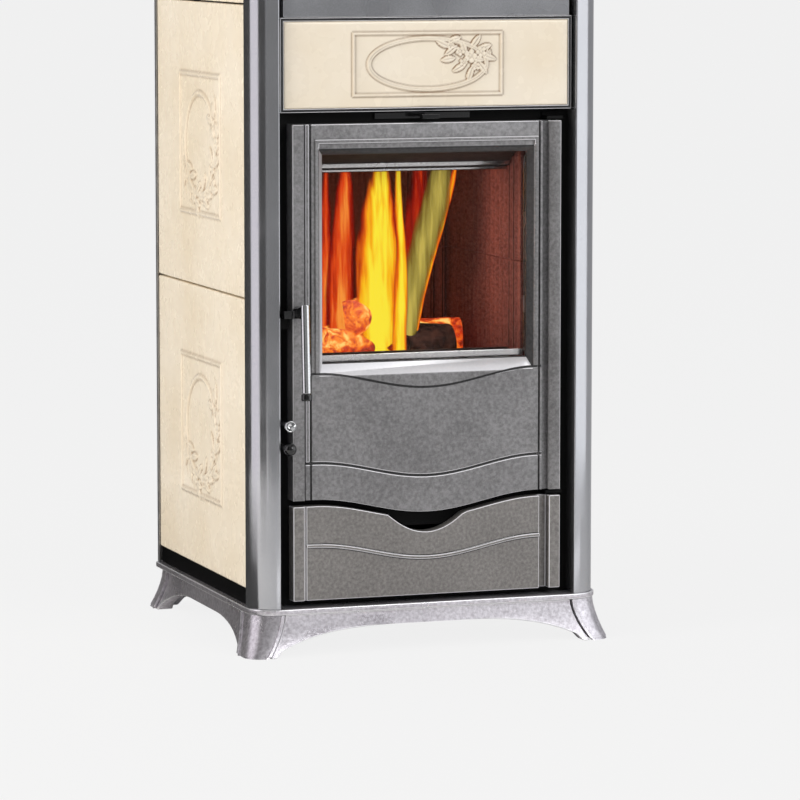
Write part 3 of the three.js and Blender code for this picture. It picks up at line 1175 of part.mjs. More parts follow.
const shakerArmX = -GRATE_HALF + SHAKER_ARM;
place(firebox, 'shaker_rod', shaped(
  rodBetween([PULL_X, -PULL_START, SHAKER_Z],
    [PULL_X, SHAKER_ARM_DEPTH + PULL_RADIUS, SHAKER_Z], PULL_RADIUS),
  [
    rodBetween([PULL_X, SHAKER_ARM_DEPTH, SHAKER_Z],
      [shakerArmX + PULL_RADIUS, SHAKER_ARM_DEPTH, SHAKER_Z], PULL_RADIUS),
    rodBetween([shakerArmX, SHAKER_ARM_DEPTH, SHAKER_Z],
      [shakerArmX, SHAKER_ARM_DEPTH, grateLow - SEAT], PULL_RADIUS),
  ],
), steel);
const knobBack = -PULL_START - SEAT;
place(firebox, 'shaker_knob', turnedAlongDepth([
  [0, -PULL_OUT + CUP_RIM * 0.4], [CUP_RADIUS * 0.55, -PULL_OUT],
  [CUP_RADIUS * 0.8, -PULL_OUT - CUP_RIM], [CUP_RADIUS, -PULL_OUT - CUP_RIM * 0.8],
  [CUP_RADIUS, -PULL_OUT + CUP_RIM * 0.6], [CUP_RADIUS * 0.6, knobBack],
  [0, knobBack]]), chrome, [PULL_X, 0, SHAKER_Z]);

const valveX = -FIREBOX_HALF - SEAT;
place(firebox, 'primary_air_rod', shaped(
  rodBetween([PULL_X, -PULL_START, PRIMARY_Z],
    [PULL_X, PORT_DEPTH + PULL_RADIUS, PRIMARY_Z], PULL_RADIUS),
  [
    rodBetween([PULL_X, PORT_DEPTH, PRIMARY_Z], [valveX - 1, PORT_DEPTH, PRIMARY_Z], PULL_RADIUS * 0.9),
    block([valveX - FLAP_SHEET, valveX], [PORT_DEPTH - FLAP_LENGTH / 2, PORT_DEPTH + FLAP_LENGTH / 2],
      [PRIMARY_Z - FLAP_HEIGHT / 2, PRIMARY_Z + FLAP_HEIGHT / 2]),
  ],
), steel);
const ballFlat = 0.42 * Math.PI;
const ballCentre = knobBack - BALL_RADIUS * Math.sin(ballFlat);
const ballPoints = arcPoints(0, ballCentre, BALL_RADIUS, -Math.PI / 2, ballFlat, 9);
place(firebox, 'primary_air_knob', turnedAlongDepth([[0, ballCentre - BALL_RADIUS],
  ...ballPoints.slice(1), [0, knobBack]]), bakelite, [PULL_X, 0, PRIMARY_Z]);

// ------------------------------------------------------------------ drawer
function drawerFront() {
  const half = DOOR_HALF;
  const notch = (x) => NOTCH_DEPTH * (1 + Math.cos(Math.PI * Math.min(1, Math.abs(x) / NOTCH_HALF))) / 2;
  const edge = waveLine(-half, half, DRAWER_TOP, 54).map(([x, z]) => [x, z - notch(x)]);
  const outline = shapeOf([[-half, DRAWER_BOTTOM], [half, DRAWER_BOTTOM], ...edge.reverse()]);
  const slab = thicken(outline, DRAWER_FACE, DRAWER_BACK);
  const inner = half - STILE_WIDTH;
  const high = DRAWER_TOP + WAVE_RISE + 1;
  const relief = [
    thicken(waveRibbon(inner - 1, DRAWER_TOP - DRAWER_BEAD, BEAD_WIDTH),
      DRAWER_FACE - BEAD_RELIEF, DRAWER_FACE + 1),
  ];
  const cuts = [
    block([-inner, -inner + MILLED_EDGE], [0, DRAWER_FACE + GROOVE_DEPTH], [DRAWER_BOTTOM - 1, high]),
    block([inner - DRAWER_GROOVE, inner], [0, DRAWER_FACE + DRAWER_GROOVE_DEPTH],
      [DRAWER_BOTTOM - 1, high]),
  ];
  const stiles = [[-half, -inner], [inner, half]].map((span) =>
    block(span, [DRAWER_FACE - DRAWER_STILE, DRAWER_FACE + 1], [DRAWER_BOTTOM, DRAWER_TOP + WAVE_RISE]));
  return shaped(slab, [...relief, ...stiles], cuts);
}

const drawer = new THREE.Group();
stove.add(drawer);
place(drawer, 'drawer_front', drawerFront(), castIron);
place(drawer, 'drawer_tray', openTray([-TRAY_HALF, TRAY_HALF],
  [DRAWER_BACK + SEAT, TRAY_REAR],
  [TRAY_FLOOR, TRAY_FLOOR + TRAY_HEIGHT], TRAY_SHEET), galvanised);

// ------------------------------------------------------------------ centring over the origin
const extent = new THREE.Box3().setFromObject(stove, true);
stove.position.y = -(extent.min.y + extent.max.y) / 2;

export default stove;
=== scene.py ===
# %% [markdown]
# # A tiled wood stove
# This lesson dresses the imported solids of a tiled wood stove. The solids give every place
# and size; the cells below add rounded edges, relief on the tiles, finishes, a fire, the
# floor, the lamps and the camera. Loading the frame comes first, so that each later step
# can read real places from it instead of repeating numbers.

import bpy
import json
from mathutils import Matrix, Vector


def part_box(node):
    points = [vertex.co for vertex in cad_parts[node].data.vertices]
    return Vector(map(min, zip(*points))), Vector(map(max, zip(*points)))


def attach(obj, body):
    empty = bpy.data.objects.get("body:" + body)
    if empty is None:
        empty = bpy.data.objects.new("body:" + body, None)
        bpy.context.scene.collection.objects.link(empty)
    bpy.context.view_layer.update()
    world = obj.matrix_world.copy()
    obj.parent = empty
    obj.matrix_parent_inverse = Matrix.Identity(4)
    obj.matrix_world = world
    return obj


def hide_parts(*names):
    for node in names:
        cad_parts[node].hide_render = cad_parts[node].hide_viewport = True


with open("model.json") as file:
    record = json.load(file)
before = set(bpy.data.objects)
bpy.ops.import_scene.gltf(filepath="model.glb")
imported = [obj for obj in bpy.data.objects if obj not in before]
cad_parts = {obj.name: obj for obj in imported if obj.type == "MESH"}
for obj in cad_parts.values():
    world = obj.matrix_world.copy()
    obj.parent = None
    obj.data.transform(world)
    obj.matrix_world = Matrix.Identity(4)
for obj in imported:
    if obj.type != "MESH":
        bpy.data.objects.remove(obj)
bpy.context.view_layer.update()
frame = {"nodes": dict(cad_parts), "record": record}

# %% [markdown]
# ## Shared places
# A stove maker measures from the front of the corner columns. The same depth is used here:
# `at` turns a width, a depth behind that face and a height, in millimetres, into a point.
# Bodies are read from the record, so a piece that stands for a solid keeps its body.

# %% Places, slots and bodies
import json
import math

import bmesh
import bpy
import numpy as np
from mathutils import Matrix, Vector, noise

MM = 0.001
nodes = frame["nodes"]
body_of = {name: body for body, names in frame["record"]["behaviour"]["bodies"].items()
           for name in names}
COLUMN_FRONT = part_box("column_left")[0].y


def at(x, depth, z):
    return Vector((x * MM, COLUMN_FRONT + depth * MM, z * MM))


print("columns' front face at y =", round(COLUMN_FRONT, 4))

# %% [markdown]
# ## From a bmesh to a finished piece
# Every piece goes through one door: the mesh gets smooth shading with sharp edges where
# faces meet steeply, its finish, and the body that it moves with. Weighted normals keep
# wide faces flat beside narrow rounded edges, which is how cast and folded metal looks.

# %% Settle a piece
def placed(bm, name, finish):
    mesh = bpy.data.meshes.new(name)
    bm.to_mesh(mesh)
    bm.free()
    mesh.materials.append(finish)
    made = bpy.data.objects.new(name, mesh)
    bpy.context.scene.collection.objects.link(made)
    return made


def settle(bm, name, finish, stands_for=(), body=None, sharp=38, weighted=False):
    piece = placed(bm, name, finish)
    piece.data.polygons.foreach_set("use_smooth", [True] * len(piece.data.polygons))
    piece.data.set_sharp_from_angle(angle=math.radians(sharp))
    if weighted:
        piece.modifiers.new("flat_faces", "WEIGHTED_NORMAL").keep_sharp = True
    stands_for = [stands_for] if isinstance(stands_for, str) else list(stands_for)
    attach(piece, body or body_of[stands_for[0]])
    if stands_for:
        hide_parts(*stands_for)
    return piece


# %% [markdown]
# ## Rounded edges
# Real castings and folded sheets have no knife edges, and the thin highlights along them
# are what the eye reads as metal. The solid's loose triangles are copied and merged, flat
# triangles are dissolved into whole faces, and the steep edges get a small bevel. Each face
# of a bevel stores in `edge` whether it lies on an outer edge (1) or in a corner (-1).
# The short helpers pick points and open edges, and lay a shape along a line.

# %% Rounded copies of solids
def points_of(geometry):
    return [item for item in geometry if isinstance(item, bmesh.types.BMVert)]


def open_edges(bm):
    return [edge for edge in bm.edges if edge.is_boundary]


def between(start, end):
    turn = (end - start).to_track_quat("Z", "Y").to_matrix().to_4x4()
    return Matrix.Translation((start + end) / 2) @ turn


def merged_copy(node):
    bm = bmesh.new()
    bm.from_mesh(nodes[node].data)
    bmesh.ops.remove_doubles(bm, verts=bm.verts, dist=4e-6)
    bmesh.ops.dissolve_limit(bm, angle_limit=math.radians(0.4), verts=bm.verts, edges=bm.edges)
    return bm


def bevel_edges(bm, edges, width, segments=2):
    return bmesh.ops.bevel(bm, geom=list(edges), offset=width * MM, offset_type="OFFSET",
                           segments=segments, profile=0.5, affect="EDGES", material=-1,
                           clamp_overlap=True)["faces"]


def steep_edges(bm, angle=30):
    limit = math.radians(angle)
    return [e for e in bm.edges if len(e.link_faces) == 2 and e.calc_face_angle() > limit]


# A bevel face on an outer edge gets 1, which the finish shows lighter as wear and painted
# highlight; one in a corner gets -1, which it shows near black as painted shade.
def mark_rims(rims, scuff_and_painted_light):
    for face in rims:
        bend = sum(edge.calc_face_angle_signed(0) for edge in face.edges
                   if len(edge.link_faces) == 2)
        face[scuff_and_painted_light] = 1 if bend > 0 else -1


def rounded_copy(node, finish, width, angle=30, sharp=38, reshape=None):
    bm = merged_copy(node)
    if reshape:
        reshape(bm)
    scuff_and_painted_light = bm.faces.layers.float.new("edge")
    mark_rims(bevel_edges(bm, steep_edges(bm, angle), width), scuff_and_painted_light)
    return settle(bm, node + "_rounded", finish, node, sharp=sharp, weighted=True)


# %% [markdown]
# ## Small colour and node helpers
# Colours are written as they look, from 0 to 255, and turned to the linear values that
# Blender's sockets hold. `feed` sets a node's inputs, and where it is given another node's
# output it links that instead. The helpers below it each add one node and give its output,
# which keeps every material's cell short.

# %% Colour and node helpers
def tone(r, g, b):
    def linear(v):
        v /= 255
        return v / 12.92 if v <= 0.04045 else ((v + 0.055) / 1.055) ** 2.4
    return (linear(r), linear(g), linear(b), 1.0)


def feed(tree, target, values):
    for socket, value in values.items():
        if isinstance(value, bpy.types.NodeSocket):
            tree.links.new(value, target.inputs[socket])
        else:
            target.inputs[socket].default_value = value


def add_node(tree, kind, values, **settings):
    made = tree.nodes.new("ShaderNode" + kind)
    for key, value in settings.items():
        setattr(made, key, value)
    feed(tree, made, values)
    return made


def object_place(tree):
    return add_node(tree, "TexCoord", {}).outputs["Object"]


def attribute(tree, name):
    return add_node(tree, "Attribute", {}, attribute_name=name).outputs["Fac"]


def noise_value(tree, place, scale, detail, **values):
    return add_node(tree, "TexNoise", {"Vector": place, "Scale": scale, "Detail": detail,
                                       **values}).outputs["Fac"]


def map_range(tree, value, given=(0.0, 1.0), wanted=(0.0, 1.0)):
    return add_node(tree, "MapRange", {
        "Value": value, "From Min": given[0], "From Max": given[1], "To Min": wanted[0],
        "To Max": wanted[1]}).outputs["Result"]


def calculate(tree, operation, *values, clamp=False):
    return add_node(tree, "Math", dict(enumerate(values)), operation=operation,
                    use_clamp=clamp).outputs["Value"]


def mix_colour(tree, factor, first, second):
    return add_node(tree, "Mix", {"Factor": factor, 6: first, 7: second},
                    data_type="RGBA").outputs[2]


def colour_ramp(tree, factor, stops):
    ramp = add_node(tree, "ValToRGB", {"Fac": factor})
    elements = ramp.color_ramp.elements
    for element, (place, colour) in ((elements[0], stops[0]), (elements[1], stops[-1])):
        element.position, element.color = place, tone(*colour)
    for place, colour in stops[1:-1]:
        elements.new(place).color = tone(*colour)
    return ramp.outputs["Color"]


def bumped(tree, height, strength, distance=0.001):
    return add_node(tree, "Bump", {"Height": height, "Strength": strength,
                                   "Distance": distance}).outputs["Normal"]


def new_material(name, **constants):
    material = bpy.data.materials.new(name)
    material.use_nodes = True
    shader = material.node_tree.nodes["Principled BSDF"]
    for socket, value in constants.items():
        shader.inputs[socket.replace("_", " ")].default_value = value
    return material, material.node_tree, shader


def open_group(name, inputs, outputs):
    group = bpy.data.node_groups.new(name, "ShaderNodeTree")
    for title, kind, value in inputs:
        socket = group.interface.new_socket(title, in_out="INPUT", socket_type=kind)
        socket.default_value = value
    for title, kind in outputs:
        group.interface.new_socket(title, in_out="OUTPUT", socket_type=kind)
    return group, group.nodes.new("NodeGroupInput"), group.nodes.new("NodeGroupOutput")


FLOAT, COLOR, VECTOR = "NodeSocketFloat", "NodeSocketColor", "NodeSocketVector"

# %% [markdown]
# ## Grain
# Painted iron is never one grey: the sand mould leaves a fine tooth, and the paint sits a
# little thicker in some places. One group makes both, a fine noise for the tooth and a
# broad one for the paint, and gives colour, roughness and a bumped normal. Where the `edge`
# attribute marks outer rims they turn lighter, partly as wear and partly as a painted
# highlight, and where it marks corners they turn near black, as painted shade.

# %% The grain group
grain, g_in, g_out = open_group("metal_grain", [
    ("Dark", COLOR, (0.1, 0.1, 0.1, 1)), ("Light", COLOR, (0.2, 0.2, 0.2, 1)),
    ("Scale", FLOAT, 400.0), ("Cloud", FLOAT, 9.0), ("Roughness", FLOAT, 0.5),
    ("Spread", FLOAT, 0.2), ("Depth", FLOAT, 0.2), ("Scuff And Highlight Colour", COLOR, (0.6, 0.6, 0.6, 1)),
    ("Scuff And Highlight", FLOAT, 0.0),
], [("Color", COLOR), ("Roughness", FLOAT), ("Normal", VECTOR)])
given = g_in.outputs
place = object_place(grain)
fine = noise_value(grain, place, given["Scale"], 3.0, Roughness=0.6)
cloud = noise_value(grain, place, given["Cloud"], 2.0, Roughness=0.5)
tooth = map_range(grain, fine, (0.3, 0.7))
patch = map_range(grain, cloud, (0.3, 0.7), (-0.16, 0.16))
paint = mix_colour(grain, calculate(grain, "ADD", tooth, patch, clamp=True),
                   given["Dark"], given["Light"])
# The `edge` attribute is 1 on the outer rims of a bevel and -1 in its corners.
rim = attribute(grain, "edge")
# Outer rims lighten toward the rim colour: partly wear, partly painted highlight.
rim_scuff_and_highlight = calculate(grain, "MULTIPLY", rim, given["Scuff And Highlight"], clamp=True)
scuffed_and_highlighted = mix_colour(grain, rim_scuff_and_highlight, paint, given["Scuff And Highlight Colour"])
# Corners are mixed to near black: painted shade.
painted_crease_shade = calculate(grain, "MULTIPLY", rim, -0.9, clamp=True)
height = calculate(grain, "MULTIPLY", fine, given["Depth"])
feed(grain, g_out, {
    "Color": mix_colour(grain, painted_crease_shade, scuffed_and_highlighted, (0.004, 0.004, 0.004, 1)),
    "Roughness": calculate(grain, "MULTIPLY_ADD", patch, given["Spread"], given["Roughness"]),
    "Normal": bumped(grain, height, 1.0),
})


def grained(name, dark, light, scale, roughness, depth, cloud=9.0, scuff_and_highlight=0.0,
            scuff_and_painted_light=(232, 231, 234), **constants):
    material, tree, shader = new_material(name, **constants)
    mixed = add_node(tree, "Group", {
        "Dark": tone(*dark), "Light": tone(*light), "Scale": scale, "Cloud": cloud,
        "Roughness": roughness, "Spread": 0.5, "Depth": depth, "Scuff And Highlight": scuff_and_highlight,
        "Scuff And Highlight Colour": tone(*scuff_and_painted_light)}, node_tree=grain).outputs
    feed(tree, shader, {"Base Color": mixed["Color"], "Roughness": mixed["Roughness"],
                        "Normal": mixed["Normal"]})
    return material


# %% [markdown]
# ## Metals and paints
# The door, the drawer and the top are grey painted castings with a coarse tooth. The base
# is paler. The folded columns are smoother and glossier, so their round shows as long
# highlights. Hidden sheets are black or galvanised, and the firebox is dull with soot.

# %% Painted iron and sheet
# Where a material lightens its outer rims, that is wear and a painted highlight.
cast_iron = grained("cast_iron", (108, 107, 108), (142, 141, 142), 230, 0.42, 0.14, scuff_and_highlight=0.85,
                    Metallic=0.5)
drawer_iron = grained("drawer_iron", (108, 105, 103), (140, 137, 134), 230, 0.44, 0.14,
                      scuff_and_highlight=0.85, Metallic=0.5)
base_iron = grained("base_iron", (176, 172, 178), (222, 219, 225), 210, 0.3, 0.2, scuff_and_highlight=0.9,
                    scuff_and_painted_light=(250, 250, 252), Metallic=0.8)
column_paint = grained("column_paint", (176, 177, 181), (194, 195, 199), 900, 0.15, 0.04,
                       scuff_and_highlight=0.6, Metallic=0.92)
panel_paint = grained("panel_paint", (120, 121, 124), (138, 139, 142), 700, 0.3, 0.06, scuff_and_highlight=0.7,
                      Metallic=0.6)
band_steel = grained("band_steel", (26, 26, 28), (48, 48, 50), 600, 0.35, 0.06, scuff_and_highlight=1.0,
                     Metallic=0.5)
black_sheet = grained("black_sheet", (3, 3, 3), (11, 11, 11), 600, 0.7, 0.1,
                      Specular_IOR_Level=0.2)
soot_steel = grained("soot_steel", (22, 16, 15), (50, 38, 34), 160, 0.72, 0.3)
soot_iron = grained("soot_iron", (24, 20, 19), (64, 54, 50), 240, 0.75, 0.5)
bakelite = grained("bakelite", (5, 5, 6), (11, 11, 12), 700, 0.12, 0.02, Coat_Weight=0.5)
bright_steel = grained("bright_steel", (168, 168, 170), (204, 204, 206), 700, 0.24, 0.04,
                       Metallic=0.9)
chrome = grained("chrome", (206, 207, 208), (226, 227, 228), 500, 0.08, 0.01, Metallic=1.0)

# %% [markdown]
# ## Galvanised sheet
# Zinc freezes on sheet steel in flat crystals, the spangle. Voronoi cells give each crystal
# its own grey and its own gloss, and a little noise keeps their borders uneven.

# %% Galvanised sheet
galvanised, tree, shader = new_material("galvanised", Metallic=0.8)
place = object_place(tree)
wobble = add_node(tree, "TexNoise", {"Vector": place, "Scale": 60.0, "Detail": 2.0})
shifted = add_node(tree, "VectorMath", {
    0: wobble.outputs["Color"], 1: (0.012, 0.012, 0.012), 2: place}, operation="MULTIPLY_ADD")
crystal = add_node(tree, "TexVoronoi", {"Vector": shifted.outputs["Vector"], "Scale": 75.0})
feed(tree, shader, {
    "Base Color": map_range(tree, crystal.outputs["Color"], wanted=(0.30, 0.44)),
    "Roughness": map_range(tree, crystal.outputs["Color"], wanted=(0.38, 0.56)),
})

# %% [markdown]
# ## Cream glaze
# The tiles are glazed earthenware. The glaze pools in the hollows, where it looks warmer
# and darker, and the steep slopes of the relief are darkened the same way as painted shade.
# The relief writes both to the mesh, and the finish reads that, over a soft cloudy variation
# of the cream itself.

# %% Cream glaze
glaze, tree, shader = new_material("cream_glaze", Coat_Weight=0.35, Coat_Roughness=0.12)
place = object_place(tree)
clouds = map_range(tree, noise_value(tree, place, 7.0, 4.0, Roughness=0.55), (0.32, 0.68))
cream = mix_colour(tree, clouds, tone(236, 222, 198), tone(244, 233, 214))
ripple = noise_value(tree, place, 38.0, 2.0)
# The darker brown colour goes into hollows and onto steep slopes: partly glaze pooling, partly
# painted shade.
feed(tree, shader, {
    "Base Color": mix_colour(tree, attribute(tree, "pooled_glaze_and_shade"), cream, tone(136, 106, 76)),
    "Roughness": map_range(tree, ripple, wanted=(0.2, 0.34)),
    "Normal": bumped(tree, ripple, 0.25),
})

# %% [markdown]
# ## Refractory, rope and glass
# The lining is pressed refractory stone, smoked brown. The seal is braided glass rope, so
# its finish winds two sets of stripes round it. The pane is clear heat-proof glass.

# %% Refractory, rope and glass
refractory = grained("refractory", (78, 44, 40), (122, 80, 72), 260, 0.85, 0.4, cloud=14.0)
rope_seal, tree, shader = new_material("rope_seal", Roughness=0.95)
braid = add_node(tree, "TexWave", {"Vector": object_place(tree), "Scale": 110.0,
                                   "Distortion": 1.2}, bands_direction="DIAGONAL").outputs["Fac"]
feed(tree, shader, {
    "Base Color": mix_colour(tree, braid, tone(38, 38, 37), tone(92, 90, 86)),
    "Normal": bumped(tree, braid, 0.8),
})
pane_glass, tree, shader = new_material(
    "pane_glass", Base_Color=(0.97, 0.96, 0.95, 1.0), Roughness=0.0, IOR=1.1,
    Transmission_Weight=1.0)

# %% [markdown]
# ## Solids that keep their shape
# Plates, walls and small hidden solids are already right. They only need their finish, so
# a table gives each one its material.

# %% Finish the kept solids
kept = {
    "front_plate": black_sheet, "tile_rail_left": black_sheet, "tile_rail_right": black_sheet,
    "latch_keeper": black_sheet, "firebox_wall_left": soot_steel,
    "firebox_wall_right": soot_steel, "firebox_wall_rear": soot_steel,
    "firebox_ash_floor": soot_steel, "firebox_top": soot_steel, "baffle_plate": refractory,
    "drawer_runner_left": galvanised, "drawer_runner_right": galvanised,
    "glass_strip_left": bright_steel, "glass_strip_right": bright_steel,
    "door_glass": pane_glass, "door_gasket": rope_seal,
}
for name, finish in kept.items():
    nodes[name].data.materials.clear()
    nodes[name].data.materials.append(finish)
print("kept solids:", len(kept))

# %% [markdown]
# ## The tile relief as a height field
# Each tile carries a pressed relief: a square moulding, a ring, and a garland of leaves and
# blossoms. A fine grid of points is moved in and out by a height, like clay in a mould, so
# overlapping leaves melt together as they do in a real pressing. These helpers give the
# height of one bead, leaf, blossom or tendril, or of a square frame, at every point of a
# numpy grid.

# %% Beads, leaves and blossoms
RELIEF = 2.2


def bead(distance, width, height):
    reach = np.clip(np.abs(distance) / (width / 2), 0, 1)
    return height * np.cos(reach * math.pi / 2) ** 0.8


def leaf(u, v, x, z, length, width, angle):
    along = ((u - x) * math.cos(angle) + (v - z) * math.sin(angle)) / (length / 2)
    across = (v - z) * math.cos(angle) - (u - x) * math.sin(angle)
    half = width / 2 * np.clip(1 - along ** 2, 0, None) ** 0.8
    side = np.abs(across) / np.maximum(half, 1e-6)
    inside = (np.abs(along) < 1) & (side < 1)
    dome = (0.45 + 0.55 * np.sqrt(np.clip(1 - side ** 2, 0, 1))) * (1 - 0.35 * along ** 2)
    vein = 0.32 * np.exp(-(across / (0.1 * width)) ** 2)
    return np.where(inside, RELIEF * 1.15 * (dome - vein), 0)


def blossom(u, v, x, z, size, turn=0.3):
    reach = np.hypot(u - x, v - z) / (size / 2)
    lobe = np.abs(np.cos(2.5 * (np.arctan2(v - z, u - x) - turn)))
    rim = 0.66 + 0.34 * lobe ** 0.7
    petal = RELIEF * 1.15 * (0.45 + 0.55 * np.clip(reach / rim, 0, 1) * lobe ** 0.5)
    petal *= np.clip((rim - reach) / 0.12, 0, 1) ** 0.5
    button = RELIEF * 1.15 * np.sqrt(np.clip(1 - (reach / 0.27) ** 2, 0, 1))
    return np.maximum(np.where(reach < rim, petal, 0), button)


def tendril(u, v, points, width, height):
    distance = np.full(u.shape, 1e3)
    for x, z in points:
        distance = np.minimum(distance, np.hypot(u - x, v - z))
    return bead(distance, width, height)


def frame_lines(u, v, width, height, thick, relief):
    outside = np.maximum(np.abs(u) - width / 2, np.abs(v) - height / 2)
    return bead(outside + thick / 2, thick, relief)


# %% [markdown]
# ## The two ornaments
# The garland lies over the ring: blossoms of several sizes, with pairs of leaves between
# them that point away from it. It is a plain spray of five-petalled flowers, made up for
# this lesson. The front band has an oval inside a long rectangle, and a smaller spray.

# %% Side tile and band ornaments
RING = 72.0
garland = [(24, 76, 15), (2, 80, 25), (-27, 71, 20), (-54, 79, 27), (-84, 72, 20),
           (-111, 79, 26), (-139, 72, 18), (-160, 77, 14)]


def around(radius, turn):
    return radius * math.cos(turn), radius * math.sin(turn)


def with_blossoms(u, v, height, flowers):
    for number, (x, z, size) in enumerate(flowers):
        flower = blossom(u, v, x, z, size, number)
        height = np.where(flower > 0.2, np.maximum(flower, 0.75 * height), height)
    return height


def side_ornament(u, v):
    height = frame_lines(u, v, 204, 204, 6.5, RELIEF)
    height = np.maximum(height, bead(np.hypot(u, v) - RING, 9, RELIEF * 1.15))
    for degrees, radius, _ in garland:
        turn = math.radians(degrees)
        beside = turn + math.radians(13.5)
        for lean, reach, length in ((0.75, 15, 31), (-0.75, -15, 31), (0.1, 6, 26)):
            height = np.maximum(height, leaf(u, v, *around(radius + reach, beside), length, 12.5,
                                             beside + math.pi / 2 - lean))
        curl = [around(radius + 4 + 9 * t, turn - 0.26 + 0.3 * t)
                for t in np.linspace(0, 2.4, 24)]
        height = np.maximum(height, tendril(u, v, curl, 3.2, RELIEF * 0.6))
    return with_blossoms(u, v, height, [(*around(radius, math.radians(degrees)), size)
                                        for degrees, radius, size in garland])


def band_ornament(u, v):
    height = frame_lines(u, v, 222, 90, 5.5, RELIEF)
    oval = np.sqrt((u / 86) ** 2 + (v / 35) ** 2)
    slope = np.sqrt((u / 86 ** 2) ** 2 + (v / 35 ** 2) ** 2) / np.maximum(oval, 1e-6)
    away = (oval - 1) / np.maximum(slope, 1e-6)
    height = np.maximum(height, bead(away, 8, RELIEF * 1.15) - bead(away, 2.6, 0.9))
    for x, z, angle in ((22, 27, 2.7), (34, 18, 0.6), (38, 33, 0.3), (46, -6, 3.6), (52, 22, 1.9),
                        (70, 30, 0.9), (83, 22, 0.3), (90, 8, -0.3), (80, -6, -0.9),
                        (62, -14, -1.9), (30, 6, 3.3), (72, 6, -0.2)):
        height = np.maximum(height, leaf(u, v, x, z, 23, 9.5, angle))
    return with_blossoms(u, v, height, [
        (62, 10, 21), (47, 17, 15), (78, 16, 17), (70, -4, 14), (33, 25, 12), (52, 1, 13),
        (89, 15, 10)])


# %% [markdown]
# ## Pressing a tile
# `create_grid` gives the face. Its lines are packed closely under the ornament and widely
# elsewhere, which saves most of the points. The rim falls away in a quarter round, and the
# open edge is extruded back and filled, so each tile is a closed body. Where the relief
# turns sharply inwards glaze would pool, and steep slopes get painted shade; both are
# stored in one point attribute that the glaze reads.

# %% Press a tile
TILE_FACE = 253  # width from the middle to the face of a side tile
TILE_BODY = 14
COARSE_STEP = 12


def grid_lines(half, fine_half, step, rim):
    edge = half - rim * np.array([0, 0.04, 0.16, 0.36, 0.64, 1.0])
    count = max(2, round((edge[-1] - fine_half) / 9))
    outer = np.linspace(edge[-1], fine_half, count, endpoint=False)[1:]
    inner = np.linspace(-fine_half, fine_half, round(2 * fine_half / step))
    side = np.concatenate([edge, outer])
    return np.concatenate([-side, inner, side[::-1]])


def pressed_tile(name, size, rim, place, ornament, fine, step=1.35):
    across = grid_lines(size[0] / 2, fine[0], step if ornament else COARSE_STEP, rim)
    upward = grid_lines(size[1] / 2, fine[1], step if ornament else COARSE_STEP, rim)
    u, v = np.meshgrid(across, upward, indexing="ij")
    inside = np.minimum(size[0] / 2 - np.abs(u), size[1] / 2 - np.abs(v))
    slope = np.clip(rim - inside, 0, rim)
    drop = rim - np.sqrt(rim ** 2 - slope ** 2)
    height = ornament(u, v) if ornament else np.zeros_like(u)
    glaze_pool_and_shade = np.zeros_like(u)
    if ornament:
        bend = (np.gradient(np.gradient(height, across, axis=0), across, axis=0)
                + np.gradient(np.gradient(height, upward, axis=1), upward, axis=1))
        steep = np.hypot(np.gradient(height, across, axis=0), np.gradient(height, upward, axis=1))
        # Concave bend marks glaze pooling; steepness adds painted shade.
        glaze_pool_and_shade = np.clip(bend, 0, 0.75) + np.clip(steep * 0.3, 0, 0.4)
    bm = bmesh.new()
    bmesh.ops.create_grid(bm, x_segments=len(across) - 1, y_segments=len(upward) - 1, size=0.5)
    pooled_glaze_and_shade = bm.verts.layers.float.new("pooled_glaze_and_shade")
    for vert in bm.verts:
        i = round((vert.co.x + 0.5) * (len(across) - 1))
        j = round((vert.co.y + 0.5) * (len(upward) - 1))
        vert.co = (across[i], drop[i, j] - height[i, j], upward[j])
        vert[pooled_glaze_and_shade] = glaze_pool_and_shade[i, j]
    for vert in points_of(bmesh.ops.extrude_edge_only(bm, edges=open_edges(bm))["geom"]):
        vert.co.y = TILE_BODY
        vert[pooled_glaze_and_shade] = 0
    bmesh.ops.holes_fill(bm, edges=open_edges(bm), sides=0)
    bmesh.ops.recalc_face_normals(bm, faces=bm.faces)
    bmesh.ops.scale(bm, vec=(MM, MM, MM), verts=bm.verts)
    bmesh.ops.transform(bm, matrix=place, verts=bm.verts)
    return settle(bm, name + "_glazed", glaze, name, sharp=50)


for side, side_name in ((-1, "left"), (1, "right")):
    for course in ("lower", "middle", "upper"):
        name = f"side_tile_{side_name}_{course}"
        low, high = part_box(name)
        size = ((high.y - low.y) / MM, (high.z - low.z) / MM)
        face = Vector((side * TILE_FACE * MM, (low.y + high.y) / 2, (low.z + high.z) / 2))
        turned = Matrix.Translation(face) @ Matrix.Rotation(side * math.pi / 2, 4, "Z")
        relief, fine = (None, (30, 15)) if course == "upper" else (side_ornament, (118, 118))
        tile = pressed_tile(name, size, 2.5, turned, relief, fine)
        print(name, [round(v, 1) for v in size], len(tile.data.vertices), "points")
low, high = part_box("front_band_tile")
size = ((high.x - low.x) / MM, (high.z - low.z) / MM)
face = at(0, 8, (low.z + high.z) / 2 / MM)
pressed_tile("front_band_tile", size, 3.2, Matrix.Translation(face), band_ornament,
             fine=(116, 50), step=1.0)

# %% [markdown]
# ## Corner columns
# Each front corner is one sheet: a quarter round, folded back behind the front and folded
# again into a flange. One point is extruded and spun through the quarter turn, the line is
# raised to full height, the fold gets its bend, and `solidify` gives the sheet thickness.

# %% Fold the columns
COLUMN_SIDE = -255
COLUMN_INNER = -217
COLUMN_ROUND = COLUMN_INNER - COLUMN_SIDE
FLANGE_DEPTH, FLANGE_END = 33.7, -233
SIDE_DEPTH = 43.7
SHEET = 2


